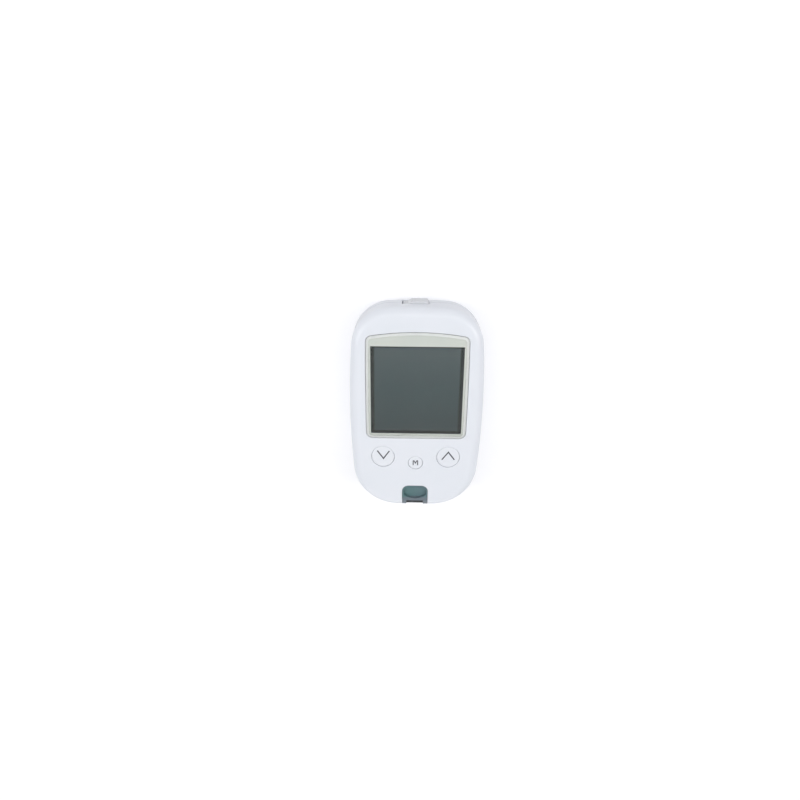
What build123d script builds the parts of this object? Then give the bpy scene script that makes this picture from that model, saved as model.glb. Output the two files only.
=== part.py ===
from build123d import *
import math
import os

os.makedirs("parts", exist_ok=True)

# A pocket blood glucose meter lying on its back, in millimetres. +Z points out of the display,
# +Y to the top end with the data port, and the test strip goes in at the -Y end.
# The origin lies under the middle of the meter, on the surface that it rests on.

# ---- case ----
case_width = 59.2           # at its widest
case_height = 26.0          # rest face to the top of the crown
above_lens = 10.3           # lens to the top end, along the middle
below_lens = 36.2           # lens to the bottom end
widest_y = 4.0
top_narrowing = 2.4         # how far each side comes in towards the top corners
bottom_narrowing = 3.1
end_bow = 1.4               # how far each end bows out
top_corner_radius = 17.2
bottom_corner_radius = 20.5
split_z = 12.5              # parting plane of the two shells
wall = 2.0
crown_radius = 800.0        # the face is part of a large sphere
front_edge_radius = 4.0
rear_edge_radius = 9.0
parting_gap = 0.3           # shadow line between the shells
parting_depth = 0.4
lip_height = 1.2            # the rear shell's lip stands inside the front shell
lip_thickness = 0.9
fit_gap = 0.1               # between moulded pieces that seat in each other

# ---- battery bay and door ----
cell_diameter = 10.5
cell_length = 44.5
cell_nub_diameter = 3.8
cell_nub_height = 0.9
cell_gap = 0.4              # between the two cells
cell_clearance = 0.3        # cells to bay
spring_space = 4.2          # bay length kept for a coil
plate_space = 0.9           # bay length kept for a flat contact
coil_plate = 0.3
coil_wire = 0.6
coil_wire_sides = 8
coil_turns = 3
coil_base_radius = 3.3
coil_tip_radius = 1.9
contact_plate_width = 8.0
contact_plate_height = 7.0
contact_button_slope = 20.0     # degrees
bay_wall = 1.2
door_recess = 0.3           # door face above the rest face
door_thickness = 1.7
door_gap = 0.2              # round the door
door_margin = 2.4           # door edge beyond the bay, on each side
door_corner_radius = 2.0
door_rib_height = 2.0
door_rib_width = 1.2
surround_width = 1.6        # shell thickened round the door
surround_height = 1.4
hook_x = 7.5
hook_width = 4.0
hook_reach = 2.4            # past the hinge axis
hook_thickness = 1.2
latch_width = 9.0
latch_height = 4.6
latch_thickness = 0.9
latch_space = 2.4           # finger room beyond the latch
latch_side_gap = 0.6
latch_leg_gap = 0.6         # inside the latch loop
latch_bend_radius = 0.8
scoop_radius = 9.0          # finger scoop in the back
scoop_depth = 1.2

# ---- circuit board ----
board_thickness = 1.2
board_gap = 0.3             # bay roof to board
board_inset = 4.0           # board edge inside the case outline
chip_margin = 1.6           # buzzer to the battery tub
chip_y = 8.0
chip_height = 1.3
processor_size = 9.0
memory_width = 5.0
memory_length = 6.2
small_part_width = 0.9
small_part_pitch = 2.2
crystal_radius = 1.0
crystal_length = 6.0
buzzer_radius = 5.0
buzzer_height = 3.2

# ---- display ----
window_width = 40.4
window_length = 40.6
bezel_below = 1.8           # lens beyond the window, at each edge
bezel_above = 4.2           # to the corners of the lens
bezel_side = 1.9
lens_arch = 2.1             # rise of the lens's top edge
lens_side_bow = 0.15
lens_corner_radius = 2.6
lens_bevel_width = 1.1
lens_bevel_depth = 0.35
lens_gap = 0.15
lens_proud = 0.1
lens_seat_depth = 2.1       # lens seat below the top of the crown
seat_edge_radius = 0.35
mask_thickness = 0.15
mask_gap = 0.03             # lens to the printed mask
ledge_thickness = 1.3       # case ledge that carries the lens
ledge_margin = 0.5          # window hole in the ledge beyond the printed window
ledge_band = 1.6            # ledge ring beyond the lens edge
lcd_margin = 1.4            # glass beyond the printed window
lcd_thickness = 1.8
lcd_contact_ledge = 2.2
lcd_gap = 0.2               # glass to case ledge
reflector_thickness = 2.0
frame_wall = 1.2
frame_shelf = 1.0
frame_shelf_width = 3.0
zebra_width = 1.5
zebra_length = 38.0

# ---- keys ----
side_key_x = 14.8
side_key_offset = 9.5       # lens to the middles of the side keys
side_key_radius = 5.15
middle_key_offset = 3.0     # side keys to the middle key
middle_key_radius = 3.25
key_gap = 0.12
key_edge_radius = 0.3
key_hole_edge_radius = 0.15
key_sink = 0.1              # key top below the face
key_dish_depth = 0.25
key_dish_rim = 0.9          # flat rim round the dish
key_flange_reach = 0.7
key_flange_thickness = 1.0
key_flange_clearance = 0.5  # flange below the shell's inside
key_skin = 1.3
key_rib_width = 0.8
key_travel = 0.6
switch_size = 6.0
switch_height = 3.1
plunger_radius = 1.6
plunger_height = 1.0        # plunger above the switch
plunger_gap = 0.08
plunger_hidden = 1.4        # plunger inside the switch
switch_leg = 0.8

# ---- test strip port ----
port_width = 11.9
port_length = 11.5
port_corner_radius = 3.0
port_skin = 1.1             # how much thicker than the shell
flange_reach = 1.5
flange_thickness = 1.1
thumb_rim = 0.9             # rim round the port's hollow
thumb_length = 5.8
thumb_bow = 1.8             # how far its lower edge bows out
thumb_corner_radius = 2.2
thumb_depth = 0.6           # at its upper end
thumb_slope = 8.0           # degrees
slot_width = 7.2
slot_height = 1.2
slot_depth = 4.5            # middle of the slot below the top of the crown
mouth_width = 7.8
mouth_depth = 4.8           # slot starts this far in from the end
mouth_slope = 61.0          # degrees, upper wall
mouth_drop = 0.3            # lower wall falls by this much
tunnel_wall = 1.3
connector_width = 11.0
connector_length = 7.0
connector_roof = 0.8        # over the slot
connector_slot_depth = 6.0
contact_count = 4
contact_pitch = 1.6
contact_width = 0.8
contact_thickness = 0.25
contact_lead = 0.3          # behind the connector
contact_foot = 0.6

# ---- data port and its cover ----
cover_pivot_x = -5.6
cover_right_x = 4.7
cover_ramp = 2.0            # length of the rise to the fingernail edge
cover_height = 6.2          # its middle is level with the socket
cover_proud = 1.0           # fingernail edge beyond the end wall
cover_barrel_radius = 1.0
cover_gap = 0.15
cover_depth = 1.7           # plate thickness at the pivot end
cover_lip = 0.4
pivot_radius = 0.55
pivot_length = 0.7
pivot_gap = 0.07
socket_width = 7.7
socket_height = 3.9
socket_length = 9.0
socket_skin = 0.35
socket_opening_gap = 0.4

# ---- fastening ----
top_screw_x = 15.0
top_screw_inset = 9.7       # from the top end
bottom_screw_x = 17.0
bottom_screw_inset = 13.4
screw_radius = 1.0
screw_length = 12.0
screw_head_radius = 1.9
screw_head_height = 1.3
head_room = 0.3
screw_gap = 0.08
post_radius = 3.1
screw_seat_z = 6.0

# ---- heights and places that follow ----
lens_length = bezel_below + window_length + bezel_above + lens_arch
case_length = above_lens + lens_length + below_lens
bottom_end_y = -(case_length + cover_proud) / 2         # middle of the bottom end
top_end_y = bottom_end_y + case_length                  # middle of the top end
lens_bottom_y = bottom_end_y + below_lens
lens_top_y = lens_bottom_y + lens_length                # middle of the arched top edge
lens_corner_y = lens_top_y - lens_arch
lens_half_width = window_width / 2 + bezel_side         # at its corners
window_y = lens_bottom_y + bezel_below + window_length / 2
side_key_y = lens_bottom_y - side_key_offset
middle_key_y = side_key_y - middle_key_offset
port_top_y = bottom_end_y + port_length
top_screw_y = top_end_y - top_screw_inset
bottom_screw_y = bottom_end_y + bottom_screw_inset
door_top_z = door_recess + door_thickness
cell_radius = cell_diameter / 2
cell_z = door_top_z + cell_clearance + cell_radius
cell_x = (cell_diameter + cell_gap) / 2
bay_radius = cell_radius + cell_clearance
bay_half_width = cell_x + bay_radius
bay_length = cell_length + spring_space + plate_space
bay_top_z = cell_z + bay_radius + bay_wall
chip_x = bay_half_width + bay_wall + chip_margin + buzzer_radius     # parts under the board
door_half_width = bay_half_width + door_margin
door_half_length = bay_length / 2 + door_margin
hinge_radius = door_thickness / 2
hinge_y = door_half_length - hinge_radius
hinge_z = door_recess + hinge_radius
board_z = bay_top_z + board_gap
board_top_z = board_z + board_thickness
socket_center_z = board_z - socket_height / 2
cover_low_z = socket_center_z - cover_height / 2
cover_high_z = cover_low_z + cover_height
seat_z = case_height - lens_seat_depth
lens_z = seat_z + mask_thickness + mask_gap
ledge_z = seat_z - ledge_thickness
lcd_top_z = ledge_z - lcd_gap
lcd_z = lcd_top_z - lcd_thickness
shelf_z = lcd_z - reflector_thickness
lcd_half_width = window_width / 2 + lcd_margin
lcd_high_y = window_y + window_length / 2 + lcd_margin
lcd_low_y = window_y - window_length / 2 - lcd_margin
lcd_mid_z = lcd_z + lcd_thickness / 2
switch_top_z = board_top_z + switch_height
plunger_top_z = switch_top_z + plunger_height
slot_z = case_height - slot_depth
slot_low_z = slot_z - slot_height / 2
pivot_y = top_end_y - cover_gap - cover_barrel_radius
cover_back_y = pivot_y + cover_barrel_radius - cover_depth
screw_places = [
    (top_screw_x, top_screw_y),
    (-top_screw_x, top_screw_y),
    (bottom_screw_x, bottom_screw_y),
    (-bottom_screw_x, bottom_screw_y),
]
side_key = {"x": side_key_x, "y": side_key_y, "radius": side_key_radius}
keys = {
    "key_down": dict(side_key, x=-side_key_x),
    "key_up": side_key,
    "key_m": {"x": 0.0, "y": middle_key_y, "radius": middle_key_radius},
}


def crown_z(x, y):
    """Height of the face over a point of the plan."""
    reach_squared = x * x + y * y
    return case_height - crown_radius + math.sqrt(crown_radius**2 - reach_squared)


def case_outline(inset):
    """Plan of the case, drawn in by inset: four long arcs with rounded corners."""
    half = case_width / 2 - inset
    top_half = half - top_narrowing
    bottom_half = half - bottom_narrowing
    top = top_end_y - inset
    bottom = bottom_end_y + inset
    with BuildSketch() as outline:
        with BuildLine():
            ThreePointArc((top_half, top - end_bow), (0, top), (-top_half, top - end_bow))
            ThreePointArc((-top_half, top - end_bow), (-half, widest_y), (-bottom_half, bottom + end_bow))
            ThreePointArc((-bottom_half, bottom + end_bow), (0, bottom), (bottom_half, bottom + end_bow))
            ThreePointArc((bottom_half, bottom + end_bow), (half, widest_y), (top_half, top - end_bow))
        make_face()
        fillet(outline.vertices().group_by(Axis.Y)[-1], radius=top_corner_radius - inset)
        fillet(outline.vertices().group_by(Axis.Y)[0], radius=bottom_corner_radius - inset)
    return outline.sketch


def front_form(inset):
    """Solid form of the front half, crowned and rounded, drawn in by inset."""
    with BuildPart() as form:
        with BuildSketch(Plane.XY.offset(split_z)):
            add(case_outline(inset))
        extrude(amount=case_height - split_z)
        with Locations((0, 0, case_height - inset - crown_radius)):
            Sphere(radius=crown_radius, rotation=(90, 0, 0), mode=Mode.INTERSECT)
        fillet(form.faces().sort_by(Axis.Z)[-1].edges(), radius=front_edge_radius - inset)
    return form.part


def rear_form(inset):
    """Solid form of the rear half with a flat back, drawn in by inset."""
    with BuildPart() as form:
        with BuildSketch(Plane.XY.offset(inset)):
            add(case_outline(inset))
        extrude(amount=split_z - inset)
        fillet(form.faces().sort_by(Axis.Z)[0].edges(), radius=rear_edge_radius - inset)
    return form.part


def lens_outline(grow):
    """Plan of the lens, grown by grow: arched top and sides that bow."""
    half = lens_half_width + grow
    side = half + lens_side_bow
    corner_y = lens_corner_y + grow
    bottom = lens_bottom_y - grow
    middle = (lens_bottom_y + lens_corner_y) / 2
    with BuildSketch() as outline:
        with BuildLine():
            Line((-half, bottom), (half, bottom))
            ThreePointArc((half, bottom), (side, middle), (half, corner_y))
            ThreePointArc((half, corner_y), (0, lens_top_y + grow), (-half, corner_y))
            ThreePointArc((-half, corner_y), (-side, middle), (-half, bottom))
        make_face()
        fillet(outline.vertices(), radius=lens_corner_radius + grow)
    return outline.sketch


def port_plan(grow):
    """Plan of the strip port: rounded towards the display, open past the bottom end."""
    length = port_top_y - bottom_end_y + case_height
    with BuildSketch() as plan:
        with Locations((0, port_top_y + grow)):
            Rectangle(port_width + 2 * grow, length, align=(Align.CENTER, Align.MAX))
        fillet(plan.vertices().group_by(Axis.Y)[-1], radius=port_corner_radius + grow)
    return plan.sketch


def door_plan(grow):
    """Plan of the battery door, grown by grow: rounded at the latch end, square at the hinge end."""
    with BuildSketch() as plan:
        Rectangle(2 * (door_half_width + grow), 2 * (door_half_length + grow))
        fillet(plan.vertices().group_by(Axis.Y)[0], radius=door_corner_radius + grow)
    return plan.sketch


def cover_recess_plan():
    """Plan of the hollow that the data port cover swings in."""
    right = cover_right_x + cover_gap
    sweep_x = cover_pivot_x - cover_barrel_radius - 2 * cover_gap
    out = top_end_y + case_height
    with BuildSketch() as plan:
        with Locations((cover_pivot_x, pivot_y)):
            Circle(cover_barrel_radius + 2 * cover_gap)
        with Locations((sweep_x, pivot_y)):
            Rectangle(right - sweep_x, out - pivot_y, align=(Align.MIN, Align.MIN))
        with Locations((cover_pivot_x, cover_back_y - cover_gap)):
            Rectangle(right - cover_pivot_x, out - pivot_y, align=(Align.MIN, Align.MIN))
    return plan.sketch


# Block behind the end wall that carries the cover's recess, its pivots and the socket opening.
port_block_front_y = top_end_y - end_bow
port_block_back_y = top_end_y - board_inset + fit_gap
port_block_left_x = cover_pivot_x - cover_barrel_radius - 2 * cover_gap - bay_wall
port_block_right_x = cover_right_x + cover_gap + bay_wall
port_block_low_z = cover_low_z - cover_gap - pivot_length - bay_wall
port_block_high_z = cover_high_z + cover_gap + pivot_length + bay_wall


def port_block(low_z, high_z):
    """The block between two heights, without its hollows."""
    with BuildPart() as block:
        with BuildSketch(Plane.XY.offset(low_z)):
            with Locations((port_block_left_x, port_block_back_y)):
                Rectangle(
                    port_block_right_x - port_block_left_x,
                    port_block_front_y - port_block_back_y,
                    align=(Align.MIN, Align.MIN),
                )
        extrude(amount=high_z - low_z)
    return block.part


def port_hollows():
    """Everything cut out of the two shells for the data port and its cover."""
    with BuildPart() as hollows:
        with BuildSketch(Plane.XY.offset(cover_low_z - cover_gap)):
            add(cover_recess_plan())
        extrude(amount=cover_high_z - cover_low_z + 2 * cover_gap)
        with BuildSketch(Plane.XY.offset(cover_low_z - cover_gap - pivot_length)):
            with Locations((cover_pivot_x, pivot_y)):
                Circle(pivot_radius + pivot_gap)
        extrude(amount=cover_high_z - cover_low_z + 2 * cover_gap + 2 * pivot_length)
        with Locations((0, cover_back_y, socket_center_z)):
            Box(
                socket_width + 2 * socket_opening_gap,
                cover_back_y - port_block_back_y + wall,
                socket_height + 2 * socket_opening_gap,
                align=(Align.CENTER, Align.MAX, Align.CENTER),
            )
            Box(
                socket_width + 2 * socket_opening_gap,
                cover_depth,
                socket_height + 2 * socket_opening_gap,
                align=(Align.CENTER, Align.MIN, Align.CENTER),
            )
    return hollows.part


def shell_slice(inset, thickness, plan):
    """Slice of a shell over a plan: it starts inset below the outer form."""
    with BuildPart() as piece:
        add(front_form(inset))
        add(front_form(inset + thickness), mode=Mode.SUBTRACT)
        with BuildSketch(Plane.XY.offset(split_z)):
            add(plan)
        extrude(amount=case_height, mode=Mode.INTERSECT)
    return piece.part


def front_shell():
    """The bare front shell."""
    with BuildPart() as shell:
        add(front_form(0))
        add(front_form(wall), mode=Mode.SUBTRACT)
    return shell.part


def rear_shell():
    """The bare rear shell."""
    with BuildPart() as shell:
        add(rear_form(0))
        add(rear_form(wall), mode=Mode.SUBTRACT)
    return shell.part


# ---- front case ----
with BuildPart() as front_case:
    # ring that carries the lens
    with BuildSketch(Plane.XY.offset(ledge_z)):
        add(lens_outline(ledge_band))
    extrude(amount=case_height - ledge_z)
    # screw bosses that press on the board, each tied to the wall by a rib
    with BuildSketch(Plane.XY.offset(board_top_z)):
        with Locations(*screw_places):
            Circle(post_radius)
        for x, y in screw_places:
            with Locations(Location((x, y, 0), (0, 0, math.degrees(math.atan2(y, x))))):
                Rectangle(3 * post_radius, bay_wall, align=(Align.MIN, Align.CENTER))
    extrude(amount=case_height - board_top_z)
    add(port_block(split_z, port_block_high_z))
    add(front_form(wall / 2), mode=Mode.INTERSECT)
    add(front_shell())
    add(port_hollows(), mode=Mode.SUBTRACT)
    # window through the ledge, then the seat of the lens
    with BuildSketch(Plane.XY.offset(ledge_z)):
        with Locations((0, window_y)):
            RectangleRounded(
                window_width + 2 * ledge_margin, window_length + 2 * ledge_margin, lens_corner_radius / 2
            )
    extrude(amount=case_height, mode=Mode.SUBTRACT)
    with BuildSketch(Plane.XY.offset(seat_z)):
        add(lens_outline(lens_gap))
    extrude(amount=case_height, mode=Mode.SUBTRACT)
    seat_edges = front_case.edges(Select.LAST).filter_by_position(Axis.Z, lens_z, case_height)
    fillet(seat_edges - seat_edges.filter_by(Axis.Z), radius=seat_edge_radius)
    # key holes
    for key in keys.values():
        with BuildSketch(Plane.XY.offset(board_top_z)):
            with Locations((key["x"], key["y"])):
                Circle(key["radius"] + key_gap)
        extrude(amount=case_height, mode=Mode.SUBTRACT)
        fillet(front_case.edges(Select.LAST).sort_by(Axis.Z)[-1], radius=key_hole_edge_radius)
    # notch for the strip port
    with BuildSketch(Plane.XY.offset(split_z)):
        add(port_plan(fit_gap / 2))
    extrude(amount=case_height, mode=Mode.SUBTRACT)
    # pilot holes
    with BuildSketch(Plane.XY.offset(board_top_z)):
        with Locations(*screw_places):
            Circle(screw_radius + screw_gap)
    extrude(amount=screw_seat_z + screw_length + head_room - board_top_z, mode=Mode.SUBTRACT)
    # rebate for the rear shell's lip, and the shadow line outside it
    with BuildSketch(Plane.XY.offset(split_z)):
        add(case_outline(wall - lip_thickness - fit_gap))
        add(case_outline(wall + fit_gap), mode=Mode.SUBTRACT)
    extrude(amount=lip_height + fit_gap, mode=Mode.SUBTRACT)
    with BuildSketch(Plane.XY.offset(split_z)):
        add(case_outline(-parting_depth))
        add(case_outline(parting_depth), mode=Mode.SUBTRACT)
    extrude(amount=parting_gap, mode=Mode.SUBTRACT)
front_case.part.label = "front_case"
export_step(front_case.part, "parts/front_case.step")


# ---- rear case ----
surround_half_width = door_half_width + door_gap + surround_width
surround_half_length = door_half_length + door_gap + surround_width
latch_room_width = latch_width + 2 * latch_side_gap
latch_room_y = -bay_length / 2 - bay_wall - fit_gap     # its side nearest the cells
latch_room_length = latch_space + door_half_length + latch_room_y
latch_room_top_z = door_top_z + latch_height + fit_gap

with BuildPart() as rear_case:
    # thickened floor round the door
    with BuildSketch():
        RectangleRounded(2 * surround_half_width, 2 * surround_half_length, door_corner_radius)
    extrude(amount=wall + surround_height)
    # screw posts under the board
    with BuildSketch():
        with Locations(*screw_places):
            Circle(post_radius)
    extrude(amount=split_z)
    # stiffening ribs beside the battery tub
    with BuildSketch():
        for rib_y in (-bay_length / 3, 0, bay_length / 3):
            with Locations((0, rib_y)):
                Rectangle(case_width, bay_wall)
    extrude(amount=cell_z)
    add(port_block(port_block_low_z, split_z))
    add(rear_form(wall / 2), mode=Mode.INTERSECT)
    # the posts go on above the parting plane
    with BuildSketch(Plane.XY.offset(split_z)):
        with Locations(*screw_places):
            Circle(post_radius)
    extrude(amount=board_z - split_z)
    # walls round the latch's room
    with BuildSketch(Plane.XY.offset(wall)):
        with Locations((0, latch_room_y + bay_wall)):
            Rectangle(
                latch_room_width + 2 * bay_wall,
                latch_room_length + 2 * bay_wall,
                align=(Align.CENTER, Align.MAX),
            )
    extrude(amount=latch_room_top_z + bay_wall - wall)
    # battery tub
    with BuildSketch(Plane.XY.offset(wall)):
        Rectangle(2 * (bay_half_width + bay_wall), bay_length + 2 * bay_wall)
    extrude(amount=bay_top_z - wall)
    tub_edges = rear_case.edges().filter_by(Axis.Y).group_by(Axis.Z)[-1]
    fillet(tub_edges, radius=cell_radius - bay_wall)
    add(rear_shell())
    # lip that stands inside the front shell, clear of the strip port
    with BuildSketch(Plane.XY.offset(split_z - lip_height)):
        add(case_outline(wall - lip_thickness))
        add(case_outline(wall), mode=Mode.SUBTRACT)
    extrude(amount=2 * lip_height)
    with BuildSketch(Plane.XY.offset(split_z)):
        add(port_plan(flange_reach + fit_gap))
    extrude(amount=case_height, mode=Mode.SUBTRACT)
    add(port_hollows(), mode=Mode.SUBTRACT)
    # battery hollow with a scalloped roof
    with BuildSketch(Plane.XZ.offset(-bay_length / 2)):
        with Locations((0, door_recess)):
            Rectangle(2 * bay_half_width, cell_z - door_recess, align=(Align.CENTER, Align.MIN))
        with Locations((-cell_x, cell_z), (cell_x, cell_z)):
            Circle(bay_radius)
    extrude(amount=bay_length, mode=Mode.SUBTRACT)
    # recess for the door
    with BuildSketch():
        add(door_plan(door_gap))
    extrude(amount=door_top_z + fit_gap, mode=Mode.SUBTRACT)
    # pockets for the door's hooks
    with Locations((hook_x, hinge_y, wall), (-hook_x, hinge_y, wall)):
        Box(
            hook_width + 2 * door_gap,
            2 * (hook_reach + hook_thickness),
            hook_reach + hook_thickness,
            align=(Align.CENTER, Align.CENTER, Align.MIN),
            mode=Mode.SUBTRACT,
        )
    # room for the latch, and the finger scoop beside it
    with BuildSketch():
        with Locations((0, latch_room_y)):
            Rectangle(latch_room_width, latch_room_length, align=(Align.CENTER, Align.MAX))
    extrude(amount=latch_room_top_z, mode=Mode.SUBTRACT)
    with Locations((0, latch_room_y - latch_room_length, scoop_depth - scoop_radius)):
        Cylinder(scoop_radius, latch_room_width, rotation=(0, 90, 0), mode=Mode.SUBTRACT)
    # screw holes
    with BuildSketch():
        with Locations(*screw_places):
            Circle(screw_head_radius + head_room)
    extrude(amount=screw_seat_z, mode=Mode.SUBTRACT)
    with BuildSketch():
        with Locations(*screw_places):
            Circle(screw_radius + screw_gap)
    extrude(amount=case_height, mode=Mode.SUBTRACT)
rear_case.part.label = "rear_case"
export_step(rear_case.part, "parts/rear_case.step")


# ---- battery door ----
latch_y = -door_half_length
latch_top_z = door_top_z + latch_height
with BuildPart() as battery_door:
    with BuildSketch(Plane.XY.offset(door_recess)):
        add(door_plan(0))
    extrude(amount=door_thickness)
    # the hinge end is a full round about the hinge axis
    with BuildSketch(Plane.YZ.offset(-case_width / 2)):
        with Locations((hinge_y, hinge_z)):
            Circle(hinge_radius)
            Rectangle(2 * case_width, door_thickness, align=(Align.MAX, Align.CENTER))
    extrude(amount=case_width, mode=Mode.INTERSECT)
    # rib between the cells
    with Locations((0, 0, door_top_z)):
        Box(
            door_rib_width,
            bay_length - 2 * spring_space,
            door_rib_height,
            align=(Align.CENTER, Align.CENTER, Align.MIN),
        )
    # two hooks that reach over the case's edge
    for side in (-1, 1):
        with BuildSketch(Plane.YZ.offset(side * hook_x - hook_width / 2)):
            with BuildLine():
                Polyline(
                    (hinge_y - hinge_radius, hinge_z),
                    (hinge_y + hinge_radius - door_gap, hinge_z),
                    (hinge_y + hinge_radius - door_gap, wall + door_gap),
                    (hinge_y + hook_reach, wall + door_gap),
                    (hinge_y + hook_reach, wall + door_gap + hook_thickness),
                    (hinge_y - hinge_radius, wall + door_gap + hook_thickness),
                    close=True,
                )
            make_face()
        extrude(amount=hook_width)
    # latch: a sprung loop that rises from the door's edge and comes back down as a finger tab
    with BuildSketch(Plane.YZ.offset(-latch_width / 2)):
        with BuildLine():
            Polyline(
                (latch_y + latch_thickness, hinge_z),
                (latch_y + latch_thickness, latch_top_z),
                (latch_y - latch_leg_gap - latch_thickness, latch_top_z),
                (latch_y - latch_leg_gap - latch_thickness, door_recess),
                (latch_y - latch_leg_gap, door_recess),
                (latch_y - latch_leg_gap, latch_top_z - latch_thickness),
                (latch_y, latch_top_z - latch_thickness),
                (latch_y, hinge_z),
                close=True,
            )
        make_face()
    extrude(amount=latch_width)
    latch_bends = battery_door.edges().filter_by(Axis.X).group_by(Axis.Z)[-1]
    fillet(latch_bends, radius=latch_bend_radius)
battery_door.part.label = "battery_door"
export_step(battery_door.part, "parts/battery_door.step")


# ---- cells, side by side the opposite way round: side is the end of the nub ----
for name, side in (("cell_left", 1), ("cell_right", -1)):
    cell_middle_y = side * (spring_space - plate_space) / 2
    with BuildPart() as cell:
        with BuildSketch(
            Plane(
                origin=(-side * cell_x, cell_middle_y - side * cell_length / 2, cell_z),
                x_dir=(1, 0, 0),
                z_dir=(0, side, 0),
            )
        ):
            Circle(cell_radius)
        extrude(amount=cell_length - cell_nub_height)
        chamfer(cell.edges().filter_by(GeomType.CIRCLE), length=cell_nub_height / 2)
        with BuildSketch(
            Plane(
                origin=(-side * cell_x, cell_middle_y + side * cell_length / 2, cell_z),
                x_dir=(1, 0, 0),
                z_dir=(0, -side, 0),
            )
        ):
            Circle(cell_nub_diameter / 2)
        extrude(amount=2 * cell_nub_height)
    cell.part.label = name
    export_step(cell.part, f"parts/{name}.step")


# ---- coil contacts on the flat ends of the cells: a conical coil on a plate ----
coil_height = spring_space - coil_plate - coil_wire / 2
coil_cone = -math.degrees(math.atan((coil_base_radius - coil_tip_radius) / coil_height))
with BuildPart() as battery_springs:
    for side in (-1, 1):
        with BuildLine():
            coil = Helix(
                pitch=coil_height / coil_turns,
                height=coil_height,
                radius=coil_base_radius,
                center=(side * cell_x, side * (bay_length / 2 - coil_plate), cell_z),
                direction=(0, -side, 0),
                cone_angle=coil_cone,
            )
        with BuildSketch(Plane(origin=coil @ 0, z_dir=coil % 0)):
            RegularPolygon(coil_wire / 2, coil_wire_sides)
        sweep(path=coil)
        with Locations((side * cell_x, side * bay_length / 2, cell_z)):
            Box(
                contact_plate_width,
                coil_plate,
                contact_plate_height,
                align=(Align.CENTER, Align.MAX if side > 0 else Align.MIN, Align.CENTER),
            )
battery_springs.part.label = "battery_springs"
export_step(battery_springs.part, "parts/battery_springs.step")


# ---- flat contacts on the nubs: a plate with a raised button ----
with BuildPart() as battery_plates:
    for side in (-1, 1):
        with Locations((-side * cell_x, side * bay_length / 2, cell_z)):
            Box(
                contact_plate_width,
                coil_plate,
                contact_plate_height,
                align=(Align.CENTER, Align.MAX if side > 0 else Align.MIN, Align.CENTER),
            )
        with BuildSketch(
            Plane(
                origin=(-side * cell_x, side * bay_length / 2 - side * coil_plate, cell_z),
                x_dir=(1, 0, 0),
                z_dir=(0, -side, 0),
            )
        ):
            Circle(cell_nub_diameter / 2)
        extrude(amount=plate_space - coil_plate, taper=contact_button_slope)
battery_plates.part.label = "battery_plates"
export_step(battery_plates.part, "parts/battery_plates.step")


# ---- display: lens, printed mask, glass, reflector, holder, zebra strip ----
with BuildPart() as display_lens:
    with BuildSketch(Plane.XY.offset(lens_z)):
        add(lens_outline(0))
    extrude(amount=case_height + lens_proud - lens_z)
    with Locations((0, 0, case_height + lens_proud - crown_radius)):
        Sphere(radius=crown_radius, rotation=(90, 0, 0), mode=Mode.INTERSECT)
    lens_top = display_lens.faces().sort_by(Axis.Z)[-1]
    chamfer(lens_top.edges(), length=lens_bevel_width, length2=lens_bevel_depth, reference=lens_top)
display_lens.part.label = "display_lens"
export_step(display_lens.part, "parts/display_lens.step")

with BuildPart() as lens_mask:
    with BuildSketch(Plane.XY.offset(seat_z)):
        add(lens_outline(0))
        with Locations((0, window_y)):
            Rectangle(window_width, window_length, mode=Mode.SUBTRACT)
    extrude(amount=mask_thickness)
lens_mask.part.label = "lens_mask"
export_step(lens_mask.part, "parts/lens_mask.step")

lcd_contact_y = lcd_low_y - lcd_contact_ledge
with BuildPart() as lcd_panel:
    # the upper glass runs on past the lower one, and its contacts face down
    with Locations((0, lcd_high_y, lcd_mid_z)):
        Box(
            2 * lcd_half_width,
            lcd_high_y - lcd_contact_y,
            lcd_top_z - lcd_mid_z,
            align=(Align.CENTER, Align.MAX, Align.MIN),
        )
    with Locations((0, lcd_high_y, lcd_z)):
        Box(
            2 * lcd_half_width,
            lcd_high_y - lcd_low_y,
            lcd_mid_z - lcd_z,
            align=(Align.CENTER, Align.MAX, Align.MIN),
        )
lcd_panel.part.label = "lcd_panel"
export_step(lcd_panel.part, "parts/lcd_panel.step")

with BuildPart() as lcd_reflector:
    with BuildSketch(Plane.XY.offset(shelf_z)):
        with Locations((0, window_y)):
            RectangleRounded(2 * lcd_half_width, lcd_high_y - lcd_low_y, frame_shelf)
    extrude(amount=reflector_thickness)
lcd_reflector.part.label = "lcd_reflector"
export_step(lcd_reflector.part, "parts/lcd_reflector.step")

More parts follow.
